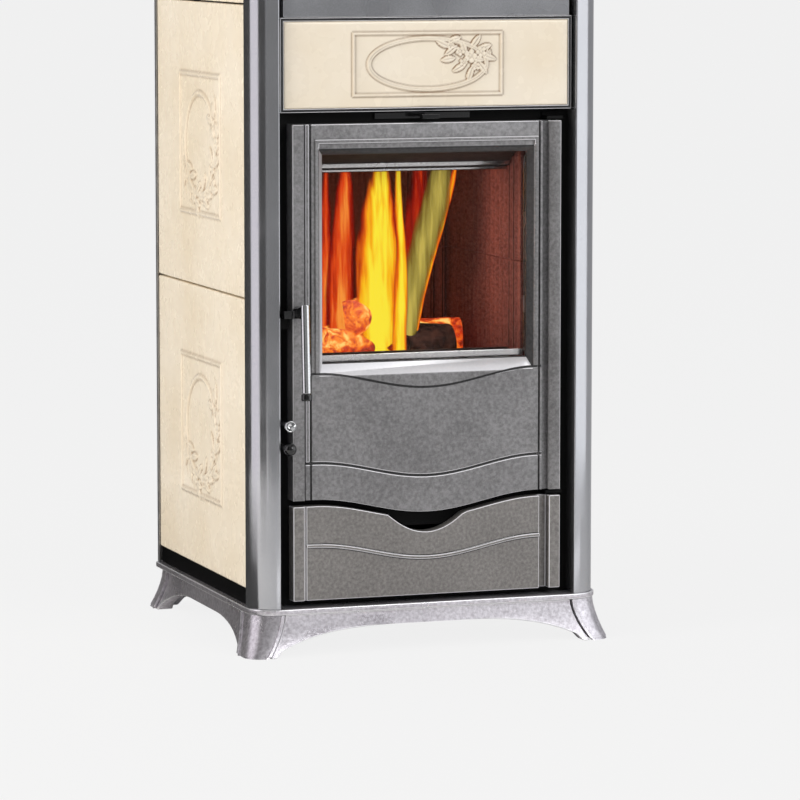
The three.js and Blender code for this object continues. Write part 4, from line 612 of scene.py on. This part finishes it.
def folded_column(side, name):
    low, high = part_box(name)
    bm = bmesh.new()
    line = [bm.verts.new((COLUMN_SIDE, SIDE_DEPTH, 0))]

    def extend(x, y):
        made = bmesh.ops.extrude_vert_indiv(bm, verts=[line[-1]])["verts"][0]
        made.co = (x, y, 0)
        line.append(made)

    extend(COLUMN_SIDE, COLUMN_ROUND)
    centre = (COLUMN_INNER, COLUMN_ROUND, 0)
    bmesh.ops.spin(bm, geom=[line[-1]], cent=centre, axis=(0, 0, 1), angle=math.pi / 2,
                   steps=28, use_merge=False)
    bm.verts.ensure_lookup_table()
    line.append(min(bm.verts, key=lambda vert: (vert.co - Vector((COLUMN_INNER, 0, 0))).length))
    extend(COLUMN_INNER, FLANGE_DEPTH)
    extend(FLANGE_END, FLANGE_DEPTH)
    raised = bmesh.ops.extrude_edge_only(bm, edges=bm.edges[:])["geom"]
    bmesh.ops.translate(bm, vec=(0, 0, (high.z - low.z) / MM), verts=points_of(raised))
    folds = [edge for edge in bm.edges
             if abs(edge.verts[0].co.z - edge.verts[1].co.z) > 1
             and abs(edge.verts[0].co.x - COLUMN_INNER) < 0.1]
    bevel_edges(bm, folds, 1.6 / MM, 4)
    bmesh.ops.recalc_face_normals(bm, faces=bm.faces)
    outward = max(bm.faces, key=lambda each: -each.calc_center_median().x)
    if outward.normal.x > 0:
        bmesh.ops.reverse_faces(bm, faces=bm.faces)
    bmesh.ops.solidify(bm, geom=bm.faces[:], thickness=SHEET)
    if side > 0:
        bmesh.ops.scale(bm, vec=(-1, 1, 1), verts=bm.verts)
        bmesh.ops.reverse_faces(bm, faces=bm.faces)
    bmesh.ops.scale(bm, vec=(MM, MM, MM), verts=bm.verts)
    bmesh.ops.translate(bm, vec=(0, COLUMN_FRONT, low.z), verts=bm.verts)
    return settle(bm, name + "_folded", column_paint, name, sharp=50)


for side, name in ((-1, "column_left"), (1, "column_right")):
    column = folded_column(side, name)
    points = [vert.co for vert in column.data.vertices]
    print(name, [round(min(p[k] for p in points) / MM, 1) for k in range(3)],
          [round(max(p[k] for p in points) / MM, 1) for k in range(3)])

# %% [markdown]
# ## Castings and sheet parts
# The drawer, the base, the feet and the top are castings whose solids already hold their
# mouldings, waves and splay. They get rounded edges at the size that each kind of work
# leaves: near a millimetre on castings, less on folded sheet and small fittings. The
# drawer's finger notch is opened into a wide arc first: its points sink from the solid's
# soft cosine curve to a parabola.

# %% Round the castings and the sheets
rounded = [
    ("drawer_front", drawer_iron, 1.3),
    ("base_frame", base_iron, 1.6), ("foot_front_left", base_iron, 1.4),
    ("foot_front_right", base_iron, 1.4), ("foot_rear_left", base_iron, 1.4),
    ("foot_rear_right", base_iron, 1.4), ("top_plate", cast_iron, 0.8),
    ("upper_front_panel", panel_paint, 0.6), ("band_carrier", band_steel, 0.8),
    ("back_panel", galvanised, 0.4), ("hinge_bracket_top", black_sheet, 0.5),
    ("hinge_bracket_bottom", black_sheet, 0.5), ("air_slide", bakelite, 0.5),
    ("latch_spindle", bakelite, 0.6), ("log_retainer", soot_steel, 0.6),
    ("hearth_plate", soot_iron, 0.8), ("hearth_frame", soot_iron, 0.8),
    ("shaker_grate", soot_iron, 0.8), ("shaker_rod", bright_steel, 0.5),
    ("primary_air_rod", bright_steel, 0.5), ("drawer_tray", galvanised, 0.4),
    ("ash_pan", galvanised, 0.4),
]
NOTCH_HALF, NOTCH_DEPTH = 58, 19.5
NOTCH_SHIFT = 2


def widen_notch(bm):
    middle = max(vert.co.z for vert in bm.verts if abs(vert.co.x) < 3 * MM)
    for vert in bm.verts:
        x = vert.co.x / MM
        if abs(x) < NOTCH_HALF and vert.co.z > middle - 1 * MM:
            shallow = (1 + math.cos(math.pi * x / NOTCH_HALF)) / 2
            full = max(0, 1 - ((x + NOTCH_SHIFT) / (NOTCH_HALF - NOTCH_SHIFT)) ** 2)
            vert.co.z += min(0, shallow - full) * NOTCH_DEPTH * MM


for name, finish, width in rounded:
    piece = rounded_copy(name, finish, width,
                         reshape=widen_notch if name == "drawer_front" else None)
    print(name, len(piece.data.polygons), "faces")

# %% [markdown]
# ## The door
# `clamp_overlap` narrows every bevel of a call to what the tightest spot allows, and the
# door has tight spots where its upper wave meets the window. So its edges are gathered
# into connected chains, and each chain is bevelled in a call of its own. The window's splay
# and the milled lines then get `edge` values too, as painted light: the sill and the left
# side a painted highlight, the head, the right side and the lines painted shade.

# %% Round the door chain by chain
DOOR_BACK = 26        # depth of the seal's side, where edges stay as they are
GROOVE_FLOOR = (10.5, 13)
SPLAY_DEPTH = (9.2, 24)
SPLAY_HEIGHT = (380, 702)
SPLAY_HALF = 159


def crowded(edge):
    if max(vert.co.y for vert in edge.verts) > at(0, DOOR_BACK, 0).y:
        return True
    for x, z in ((vert.co.x / MM, vert.co.z / MM) for vert in edge.verts):
        under_sill = 362 < z < 396 and abs(x) < 172
        lower_corner = z < 222 and 155 < abs(x) < 186
        handle_hole = 470 < z < 486 and x < -182
        if under_sill or lower_corner or handle_hole:
            return True
    return False


# Painted light on the window's splay: sill and left side get a painted highlight; the head, the
# right side and the floors of the milled lines get painted shade.
def splay_painted_light(face):
    centre, normal = face.calc_center_median(), face.normal
    depth, x, z = (centre.y - COLUMN_FRONT) / MM, centre.x / MM, centre.z / MM
    if GROOVE_FLOOR[0] < depth < GROOVE_FLOOR[1] and normal.y < -0.9:
        return -0.9
    if not (SPLAY_DEPTH[0] < depth < SPLAY_DEPTH[1]
            and SPLAY_HEIGHT[0] < z < SPLAY_HEIGHT[1] and abs(x) < SPLAY_HALF):
        return 0.0
    if normal.z > 0.3:
        return 0.8
    if normal.z < -0.3 and z > 680:
        return -0.8
    if abs(normal.x) > 0.3:
        return 0.55 if x < 0 else -0.85
    return 0.0


bm = merged_copy("door_casting")
scuff_and_painted_light = bm.faces.layers.float.new("edge")
chain = bm.edges.layers.int.new("chain")
steep = [edge for edge in steep_edges(bm)
         if edge.calc_face_angle_signed() > 0 and not crowded(edge)]
loose = set(steep)
count = 0
for first in steep:
    if first not in loose:
        continue
    count += 1
    loose.discard(first)
    reached = [first]
    while reached:
        edge = reached.pop()
        edge[chain] = count
        near = {other for vert in edge.verts for other in vert.link_edges} & loose
        loose -= near
        reached += near
rims = 0
for number in range(1, count + 1):
    made = bevel_edges(bm, [edge for edge in bm.edges if edge[chain] == number], 1.2)
    mark_rims(made, scuff_and_painted_light)
    rims += len(made)
    for edge in {edge for face in made for edge in face.edges}:
        edge[chain] = 0
bm.normal_update()
# Faces off the bevel rims take the splay's painted highlight and painted shade.
for face in bm.faces:
    if abs(face[scuff_and_painted_light]) < 0.99:
        face[scuff_and_painted_light] = splay_painted_light(face)
settle(bm, "door_casting_rounded", cast_iron, "door_casting", weighted=True)
print(count, "chains,", rims, "rounded faces")

# %% [markdown]
# ## Refractory lining
# The lining stones have upright ribs with soft noses, which slow the heat down. The solids
# draw each rib with a few facets, so a wider bevel on the shallow edges rounds them off.

# %% Round the lining stones
for name in nodes:
    if name.startswith("lining_"):
        rounded_copy(name, refractory, 1.6, angle=14, sharp=60)

# %% [markdown]
# ## Turned parts
# Collars and knobs are turned: half a section is drawn once and spun round its axis. The
# collars run upwards or backwards, the knobs forwards, so `turned_part` takes the axis.

# %% Spin the collars and knobs
def turned_part(name, section, centre, axis, finish, width=0.5):
    across = Vector((1, 0, 0))
    bm = bmesh.new()
    line = []
    for radius, along in section:
        line.append(bm.verts.new(across * radius + axis * along))
        if len(line) > 1:
            bm.edges.new(line[-2:])
    if section[0][0] > 0:
        bm.edges.new((line[-1], line[0]))
    bmesh.ops.spin(bm, geom=bm.verts[:] + bm.edges[:], cent=(0, 0, 0), axis=axis,
                   angle=2 * math.pi, steps=64, use_merge=True)
    bmesh.ops.remove_doubles(bm, verts=bm.verts, dist=1e-4)
    bmesh.ops.recalc_face_normals(bm, faces=bm.faces)
    bmesh.ops.scale(bm, vec=(MM, MM, MM), verts=bm.verts)
    bevel_edges(bm, steep_edges(bm, 24), width)
    bmesh.ops.translate(bm, vec=centre, verts=bm.verts)
    return settle(bm, name + "_turned", finish, name)


UP, BACK = Vector((0, 0, 1)), Vector((0, 1, 0))
low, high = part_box("flue_collar")
flue_centre = Vector(((low.x + high.x) / 2, (low.y + high.y) / 2, low.z))
rise = (high.z - low.z) / MM
turned_part("flue_collar", [(72, 0), (89, 0), (89, 4), (75, 4), (75, rise - 9), (75, rise - 8),
                            (74.4, rise), (72, rise)], flue_centre, UP, cast_iron)
turned_part("air_inlet", [(38, 0), (52, 0), (52, 2), (40, 2), (40, 30), (38, 30)],
            at(0, 486.3, 150), BACK, galvanised, width=0.4)
PULL_WIDTH, KNOB_SEAT = -207, -2.3
turned_part("shaker_knob", [(0, -5.6), (3.2, -6.4), (5.4, -9.4), (6.4, -12.4), (7.3, -12.7),
                            (8.0, -11.8), (8.0, -5.4), (7.2, -3.0), (4.8, 0), (0, 0)],
            at(PULL_WIDTH, KNOB_SEAT, 322), BACK, chrome, width=0.25)

# %% [markdown]
# ## The black pull ball
# The lower pull ends in a moulded ball with a flat seat where it screws to the rod. A
# sphere is cut by a plane and the cut is filled.

# %% The pull ball
BALL = 9.0
BALL_HEIGHT = 290
bm = bmesh.new()
bmesh.ops.create_uvsphere(bm, u_segments=48, v_segments=24, radius=BALL * MM)
bmesh.ops.translate(bm, vec=at(PULL_WIDTH, -11, BALL_HEIGHT), verts=bm.verts)
bmesh.ops.bisect_plane(bm, geom=bm.verts[:] + bm.edges[:] + bm.faces[:],
                       plane_co=at(PULL_WIDTH, KNOB_SEAT, BALL_HEIGHT), plane_no=BACK,
                       clear_outer=True)
bmesh.ops.holes_fill(bm, edges=open_edges(bm), sides=0)
settle(bm, "primary_air_ball", bakelite, "primary_air_knob")

# %% [markdown]
# ## The door handle
# A polished rod leans out from the latch and ends in a black cap. Both lie on one line, so
# the cap is placed by going on along the rod's own direction.

# %% Handle rod and cap
rod_top, rod_foot = at(-190, -26.3, 490), at(-193, -42, 370)
rod_way = (rod_foot - rod_top).normalized()


def round_bar(name, start, end, radius, finish, stands_for, round_end=0.8):
    bm = bmesh.new()
    bmesh.ops.create_cone(bm, cap_ends=True, segments=48, radius1=radius * MM,
                          radius2=radius * MM, depth=(end - start).length)
    bevel_edges(bm, steep_edges(bm), round_end, 3)
    bmesh.ops.transform(bm, matrix=between(start, end), verts=bm.verts)
    return settle(bm, name, finish, stands_for, weighted=True)


round_bar("handle_bar", rod_top, rod_foot, 6, chrome, "handle_rod")
round_bar("handle_cap", rod_foot + rod_way * 0.3 * MM, rod_foot + rod_way * 10.3 * MM, 7.6,
          bakelite, "handle_end_cap", round_end=2.2)

# %% [markdown]
# ## Back sheet screws
# The back sheet is screwed to the body along its sides. Each pan head is a short cone with
# a rounded crown, lying flat on the sheet. One bmesh holds them all, as one piece.

# %% Screws on the back sheet
bm = bmesh.new()
back_face = (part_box("back_panel")[1].y - COLUMN_FRONT) / MM
HEAD = 2.4  # height of a screw's head
for x in (-243, 243):
    for z in (92, 270, 450, 630, 810, 978):
        head = bmesh.ops.create_cone(bm, cap_ends=True, segments=16, radius1=4.2 * MM,
                                     radius2=2.6 * MM, depth=HEAD * MM)["verts"]
        spot = at(x, back_face + HEAD / 2, z)
        turn = Matrix.Rotation(-math.pi / 2, 4, "X")
        bmesh.ops.transform(bm, matrix=Matrix.Translation(spot) @ turn, verts=head)
bevel_edges(bm, steep_edges(bm), 0.4)
settle(bm, "back_screws", bright_steel, body="stove_body")

# %% [markdown]
# ## Air-wash deflector
# Preheated air is led down behind the pane by a folded sheet that hangs behind the window's
# head. Its section is drawn as a line of depth and height, drawn out to the full width and
# given thickness. Two polished hems on its lower folds catch the light.

# %% Air-wash deflector and hems
def add_bar(bm, width, depth, height, middle):
    made = bmesh.ops.create_cube(bm, size=1.0)["verts"]
    bmesh.ops.scale(bm, vec=(width * MM, depth * MM, height * MM), verts=made)
    bmesh.ops.translate(bm, vec=middle, verts=made)


bm = bmesh.new()
section = [(38.4, 718), (38.4, 703), (84, 676), (84, 670), (94, 670), (94, 663)]
line = [bm.verts.new(at(-149, depth, z)) for depth, z in section]
for first, second in zip(line, line[1:]):
    bm.edges.new((first, second))
drawn = bmesh.ops.extrude_edge_only(bm, edges=bm.edges[:])["geom"]
bmesh.ops.translate(bm, vec=(298 * MM, 0, 0), verts=points_of(drawn))
bmesh.ops.solidify(bm, geom=bm.faces[:], thickness=1.6 * MM)
bmesh.ops.recalc_face_normals(bm, faces=bm.faces)
settle(bm, "air_wash_deflector", soot_steel, body="stove_body")
bm = bmesh.new()
add_bar(bm, 298, 2, 6, at(0, 81.4, 673))
add_bar(bm, 290, 2, 3.4, at(4, 91.6, 665.5))
bevel_edges(bm, steep_edges(bm), 0.7)
settle(bm, "air_wash_hems", bright_steel, body="stove_body")

# %% [markdown]
# ## The pane's lower strip
# Behind the sill a bright strip clamps the pane's lower edge to the door, as the two upright
# strips do at its sides.

# %% Lower glass strip
bm = bmesh.new()
add_bar(bm, 299, 1.8, 10, at(0, 29.6, 409))
bevel_edges(bm, steep_edges(bm), 0.6)
settle(bm, "glass_strip_lower", bright_steel, body="door")

# %% [markdown]
# ## Embers and logs
# The fire lies on the hearth: a bed of ash and glowing coals, and three split logs. A log
# starts as a cone with many segments, is roughened by noise, and stores how much each
# point glows. The finish is charred bark whose hollows glow there.

# %% Charred and glowing finish
charred, tree, shader = new_material("charred_wood", Roughness=0.95, Emission_Strength=1.0)
place = object_place(tree)
bark = noise_value(tree, place, 58.0, 5.0, Roughness=0.65, Distortion=0.6)
plates = map_range(tree, bark, (0.4, 0.62))
hollows = map_range(tree, bark, (0.36, 0.66), (1.5, 0.35))
hot = calculate(tree, "MULTIPLY", hollows, noise_value(tree, place, 34.0, 3.0))
lit = calculate(tree, "MULTIPLY", hot, attribute(tree, "glow"), clamp=True)
feed(tree, shader, {
    "Base Color": mix_colour(tree, plates, tone(16, 10, 8), tone(74, 52, 44)),
    "Emission Color": colour_ramp(tree, lit, [
        (0.0, (0, 0, 0)), (0.12, (40, 4, 2)), (0.4, (205, 52, 14)), (0.7, (255, 140, 40)),
        (0.95, (255, 214, 120))]),
    "Normal": bumped(tree, plates, 0.7, 0.002),
})

# %% Logs and embers
HEARTH = 373.3


def log(name, start, end, radius, seed, glow_at):
    bm = bmesh.new()
    length = (end - start).length
    bmesh.ops.create_cone(bm, cap_ends=True, segments=40, radius1=radius * MM,
                          radius2=radius * 0.93 * MM, depth=length)
    sides = [edge for edge in bm.edges
             if abs(edge.verts[0].co.z - edge.verts[1].co.z) > length / 2]
    bmesh.ops.subdivide_edges(bm, edges=sides, cuts=34, use_grid_fill=True)
    layer = bm.verts.layers.float.new("glow")
    bmesh.ops.transform(bm, matrix=between(start, end), verts=bm.verts)
    for vert in bm.verts:
        place = vert.co * 26 + Vector((seed * 7.1, seed * 3.3, 0))
        rough = noise.noise(place) + 0.5 * noise.noise(place * 2.7)
        along = (vert.co - start).dot((end - start).normalized())
        axis_point = start + (end - start).normalized() * along
        outward = vert.co - axis_point
        if outward.length > radius * MM * 0.5:
            vert.co += outward.normalized() * rough * radius * 0.09 * MM
        vert[layer] = max(0.0, 1.7 - (vert.co - glow_at).length / (70 * MM))
    bmesh.ops.recalc_face_normals(bm, faces=bm.faces)
    return settle(bm, name, charred, body="stove_body", sharp=42)


log("log_front", at(-118, 168, 410), at(96, 190, 408), 31, 1, at(-96, 140, 420))
log("log_rear", at(-104, 262, 412), at(128, 238, 409), 33, 2, at(70, 220, 425))
log("log_across", at(-66, 150, 452), at(62, 292, 463), 25, 3, at(-30, 150, 440))

bm = bmesh.new()
bmesh.ops.create_grid(bm, x_segments=96, y_segments=72, size=0.5)
layer = bm.verts.layers.float.new("glow")
for vert in bm.verts:
    x, y = vert.co.x * 286, 224 + vert.co.y * 216
    edge = min(143 - abs(x), 108 - abs(y - 224)) / 26
    lump = noise.noise(Vector((x, y, 3)) * 0.05) + 0.5 * noise.noise(Vector((x, y, 9)) * 0.14)
    bed = 17 * min(1, max(0, edge)) * (1 + 0.7 * lump)
    vert[layer] = min(1.2, max(0.0, edge)) * (0.75 + 0.9 * lump)
    vert.co = at(x, y, HEARTH + max(0.6, bed))
for vert in points_of(bmesh.ops.extrude_edge_only(bm, edges=open_edges(bm))["geom"]):
    vert.co.z = HEARTH * MM
bmesh.ops.holes_fill(bm, edges=open_edges(bm), sides=0)
bmesh.ops.recalc_face_normals(bm, faces=bm.faces)
settle(bm, "ember_bed", charred, body="stove_body", sharp=60)

# %% [markdown]
# ## Flames
# A flame has no surface, but a thin closed tongue with a glowing finish gives its shape to
# every view. A grid is laid along a line that rises from the logs, narrowed to a tip and
# bulged slightly in its middle. `core_heat` runs from the yellow core to the red edge, and
# `veil` makes the edges and the tip clear. Each tongue lists points of its line as width,
# depth and height, with half its width at each.

# %% Flame finish
def flame_finish(name, ramp):
    material, tree, shader = new_material(
        name, Base_Color=(0, 0, 0, 1), Roughness=1.0, Specular_IOR_Level=0.0,
        Emission_Strength=1.0)
    stretch = add_node(tree, "Mapping", {"Vector": object_place(tree), "Scale": (1.0, 1.0, 0.09)})
    streaks = noise_value(tree, stretch.outputs["Vector"], 150.0, 3.0, Distortion=0.35)
    shade = map_range(tree, streaks, (0.3, 0.7), (-0.22, 0.22))
    heat = calculate(tree, "ADD", attribute(tree, "core_heat"), shade, clamp=True)
    feed(tree, shader, {
        "Emission Color": colour_ramp(tree, heat, ramp),
        "Alpha": calculate(tree, "ADD", attribute(tree, "veil"), shade, clamp=True),
    })
    return material


flame_yellow = flame_finish("flame_yellow", [
    (0.0, (96, 10, 6)), (0.25, (190, 44, 14)), (0.5, (240, 120, 22)), (0.72, (252, 186, 28)),
    (1.0, (255, 232, 60))])
flame_red = flame_finish("flame_red", [
    (0.0, (60, 8, 6)), (0.4, (150, 26, 12)), (0.7, (220, 70, 22)), (1.0, (248, 150, 60))])
flame_olive = flame_finish("flame_olive", [
    (0.0, (70, 40, 14)), (0.35, (120, 100, 40)), (0.7, (158, 142, 66)), (1.0, (196, 176, 84))])


def tongue(name, finish, line, heat):
    rows, columns = 48, 17
    spots = np.array(line, float)
    steps = np.linspace(0, 1, len(spots))
    bm = bmesh.new()
    bmesh.ops.create_grid(bm, x_segments=columns - 1, y_segments=rows - 1, size=0.5)
    heat_layer = bm.verts.layers.float.new("core_heat")
    veil_layer = bm.verts.layers.float.new("veil")
    for vert in bm.verts:
        across, along = vert.co.x * 2, vert.co.y + 0.5
        x, depth, z, half = (np.interp(along, steps, spots[:, k]) for k in range(4))
        sway = 2.2 * math.sin(along * 9 + spots[0, 0]) * along
        vert[heat_layer] = heat * (1.05 - 0.85 * min(1, abs(across)) ** 1.6 - 0.25 * along)
        vert[veil_layer] = 1.25 * (1 - abs(across) ** 3) - 1.1 * max(0, along - 0.72) / 0.28
        vert.co = at(x + sway + across * half, depth - 3 * (1 - across ** 2), z)
    made = bmesh.ops.extrude_face_region(bm, geom=bm.faces[:], use_keep_orig=True)["geom"]
    bmesh.ops.translate(bm, vec=(0, 1.2 * MM, 0), verts=points_of(made))
    bmesh.ops.recalc_face_normals(bm, faces=bm.faces)
    return settle(bm, name, finish, body="stove_body", sharp=80)


for name, finish, heat, line in (
        ("flame_main", flame_yellow, 1.15, [
            (-22, 150, 404, 27), (-24, 152, 470, 34), (-24, 155, 540, 36), (-18, 160, 610, 26),
            (-12, 165, 676, 18)]),
        ("flame_core", flame_yellow, 1.1, [
            (4, 140, 404, 12), (6, 141, 470, 11), (8, 143, 560, 8), (4, 148, 676, 6)]),
        ("flame_left", flame_red, 0.9, [
            (-74, 158, 410, 22), (-78, 160, 480, 24), (-72, 163, 560, 19), (-70, 166, 640, 13),
            (-66, 168, 684, 7)]),
        ("flame_far_left", flame_red, 0.75, [
            (-102, 170, 420, 9), (-98, 171, 520, 11), (-94, 172, 600, 9), (-96, 173, 676, 5)]),
        ("flame_middle", flame_red, 0.5, [
            (28, 175, 404, 15), (34, 177, 500, 17), (44, 180, 600, 19), (54, 184, 680, 14)]),
        ("flame_olive", flame_olive, 0.95, [
            (20, 160, 404, 13), (30, 162, 470, 17), (46, 165, 540, 22), (66, 168, 610, 24),
            (82, 171, 684, 20)]),
        ("flame_right_edge", flame_yellow, 0.6, [
            (34, 166, 410, 4), (50, 168, 480, 4), (72, 171, 560, 5), (96, 174, 640, 5),
            (108, 176, 684, 3)])):
    tongue(name, finish, line, heat)

# %% [markdown]
# ## Floor and backdrop
# The stove stands on a wide pale floor that runs out of sight. Seen by the camera or
# through glass, the floor shows mostly its own plain tone, and only a share of it takes the
# lamps, so the stove keeps a faint soft shadow without the floor turning grey.

# %% Floor
BACKGROUND = tone(240, 240, 240)
FLOOR_SHARE = 0.06


def flat_quad(half):
    bm = bmesh.new()
    bmesh.ops.create_grid(bm, x_segments=1, y_segments=1, size=half)
    return bm


def seen_ray(tree):
    rays = add_node(tree, "LightPath", {}).outputs
    return calculate(tree, "ADD", rays["Is Camera Ray"], rays["Is Transmission Ray"], clamp=True)


floor_paint, tree, shader = new_material("studio_floor", Base_Color=BACKGROUND, Roughness=0.9,
                                         Specular_IOR_Level=0.0)
plain = add_node(tree, "Emission", {"Color": tone(244, 244, 244)})
share = calculate(tree, "MULTIPLY", seen_ray(tree), 1 - FLOOR_SHARE)
mixed = add_node(tree, "MixShader", {0: share, 1: shader.outputs[0], 2: plain.outputs[0]})
feed(tree, tree.nodes["Material Output"], {"Surface": mixed.outputs[0]})
floor = placed(flat_quad(90), "studio_floor", floor_paint)

# %% [markdown]
# ## World and lamps
# The world gives an even base of light and shows the pale tone of the floor. Large soft
# lamps shape the stove, one from the front right and one from the left for the tiles.
# A small warm lamp in the firebox stands for the light of the fire on its lining.

# %% World
world = bpy.data.worlds.new("studio")
world.use_nodes = True
bpy.context.scene.world = world
tree = world.node_tree
feed(tree, tree.nodes["Background"], {
    "Color": mix_colour(tree, seen_ray(tree), (0.42, 0.42, 0.43, 1), BACKGROUND),
    "Strength": 1.0,
})


# %% Lamps
def soft_lamp(name, place, target, size, power, colour=(1, 1, 1), mirrored=True):
    light = bpy.data.lights.new(name, "AREA")
    light.shape = "RECTANGLE"
    light.size, light.size_y = size
    light.energy = power
    light.color = colour
    lamp = bpy.data.objects.new(name, light)
    lamp.location = place
    lamp.rotation_euler = (Vector(target) - Vector(place)).to_track_quat("-Z", "Y").to_euler()
    lamp.visible_glossy = mirrored
    bpy.context.scene.collection.objects.link(lamp)


soft_lamp("key", (1.6, -3.6, 2.6), (0, 0, 0.55), (2.4, 2.0), 66)
soft_lamp("fill", (-3.4, -0.9, 1.7), (0, 0, 0.55), (1.6, 2.0), 98, (1, 0.96, 0.9),
          mirrored=False)
soft_lamp("fire", at(-70, 120, 560), at(200, 260, 500), (0.1, 0.16), 0.8, (1, 0.5, 0.36),
          mirrored=False)

# %% [markdown]
# ## Reflectors
# Glossy paint looks like what surrounds it. Upright boards stand round the stove like the
# reflectors of a product studio, and only reflections see them: a black one behind on the
# left, a bright one straight left, a dark one at the left front, a grey one in front and a
# bright one at the right. Each is placed by the directions from a column that it covers. A
# low bright board lights the front of the base, and a dark mat lies left of the stove.

# %% Reflectors
BOARD_DISTANCE = 1.7


def reflector(name, bm, brightness, colour=(1, 1, 1)):
    paint = bpy.data.materials.new(name)
    paint.use_nodes = True
    tree = paint.node_tree
    tree.nodes.remove(tree.nodes["Principled BSDF"])
    light = add_node(tree, "Emission", {"Color": (*colour, 1), "Strength": brightness})
    feed(tree, tree.nodes["Material Output"], {"Surface": light.outputs[0]})
    panel = placed(bm, name, paint)
    for rays in ("camera", "diffuse", "transmission", "volume_scatter", "shadow"):
        setattr(panel, "visible_" + rays, False)


def board(name, centre, from_degrees, to_degrees, height, brightness, colour=(1, 1, 1),
          distance=BOARD_DISTANCE):
    half = math.radians(to_degrees - from_degrees) / 2
    facing = math.radians((from_degrees + to_degrees) / 2)
    bm = flat_quad(1)
    for vert in bm.verts:
        side = -vert.co.x * distance * math.tan(half)
        vert.co = Vector((centre[0] + distance * math.cos(facing) - side * math.sin(facing),
                          centre[1] + distance * math.sin(facing) + side * math.cos(facing),
                          0.01 + (vert.co.y + 1) / 2 * height))
    reflector(name, bm, brightness, colour)


LEFT_COLUMN, RIGHT_COLUMN = (-0.24, -0.2), (0.24, -0.2)
board("board_back_left", LEFT_COLUMN, 100, 152, 3.0, 0.015)
board("board_left", LEFT_COLUMN, 155, 196, 2.4, 1.15, (1, 0.95, 1))
board("board_left_front", LEFT_COLUMN, 198, 229, 2.4, 0.03)
board("board_front", LEFT_COLUMN, 231, 287, 2.4, 0.26)
board("board_right", RIGHT_COLUMN, 291, 352, 2.4, 1.5, (0.97, 0.98, 1))
bm = flat_quad(0.5)
bmesh.ops.scale(bm, vec=(1.1, 1.8, 1), verts=bm.verts)
bmesh.ops.translate(bm, vec=(-0.83, 0.62, 0.003), verts=bm.verts)
reflector("mat_left", bm, 0.02)
board("board_low_front", RIGHT_COLUMN, 222, 318, 0.06, 1.3, (1, 0.99, 1), distance=0.42)

# %% [markdown]
# ## Camera
# The photograph was taken from the left and a little above, with a long lens, which keeps
# the upright edges almost parallel. The lens and place come from fitting the known sizes
# of the stove to the photograph.

# %% Camera
FOCAL_PIXELS = 4304.4
IMAGE_WIDTH = 800
SENSOR_WIDTH = 36
turn, pitch = math.radians(19.1987), math.radians(6.564)
view = Vector((math.sin(turn) * math.cos(pitch), math.cos(turn) * math.cos(pitch),
               -math.sin(pitch)))
camera_data = bpy.data.cameras.new("photo_camera")
camera_data.sensor_width = SENSOR_WIDTH
camera_data.lens = FOCAL_PIXELS / IMAGE_WIDTH * SENSOR_WIDTH
camera_data.clip_end = 400
camera = bpy.data.objects.new("photo_camera", camera_data)
camera.location = at(-1995, -5604.6, 1034.1)
camera.rotation_euler = view.to_track_quat("-Z", "Y").to_euler()
bpy.context.scene.collection.objects.link(camera)
bpy.context.scene.camera = camera
bpy.context.scene.view_settings.view_transform = "Standard"
print("lens:", round(camera_data.lens, 1), "mm")
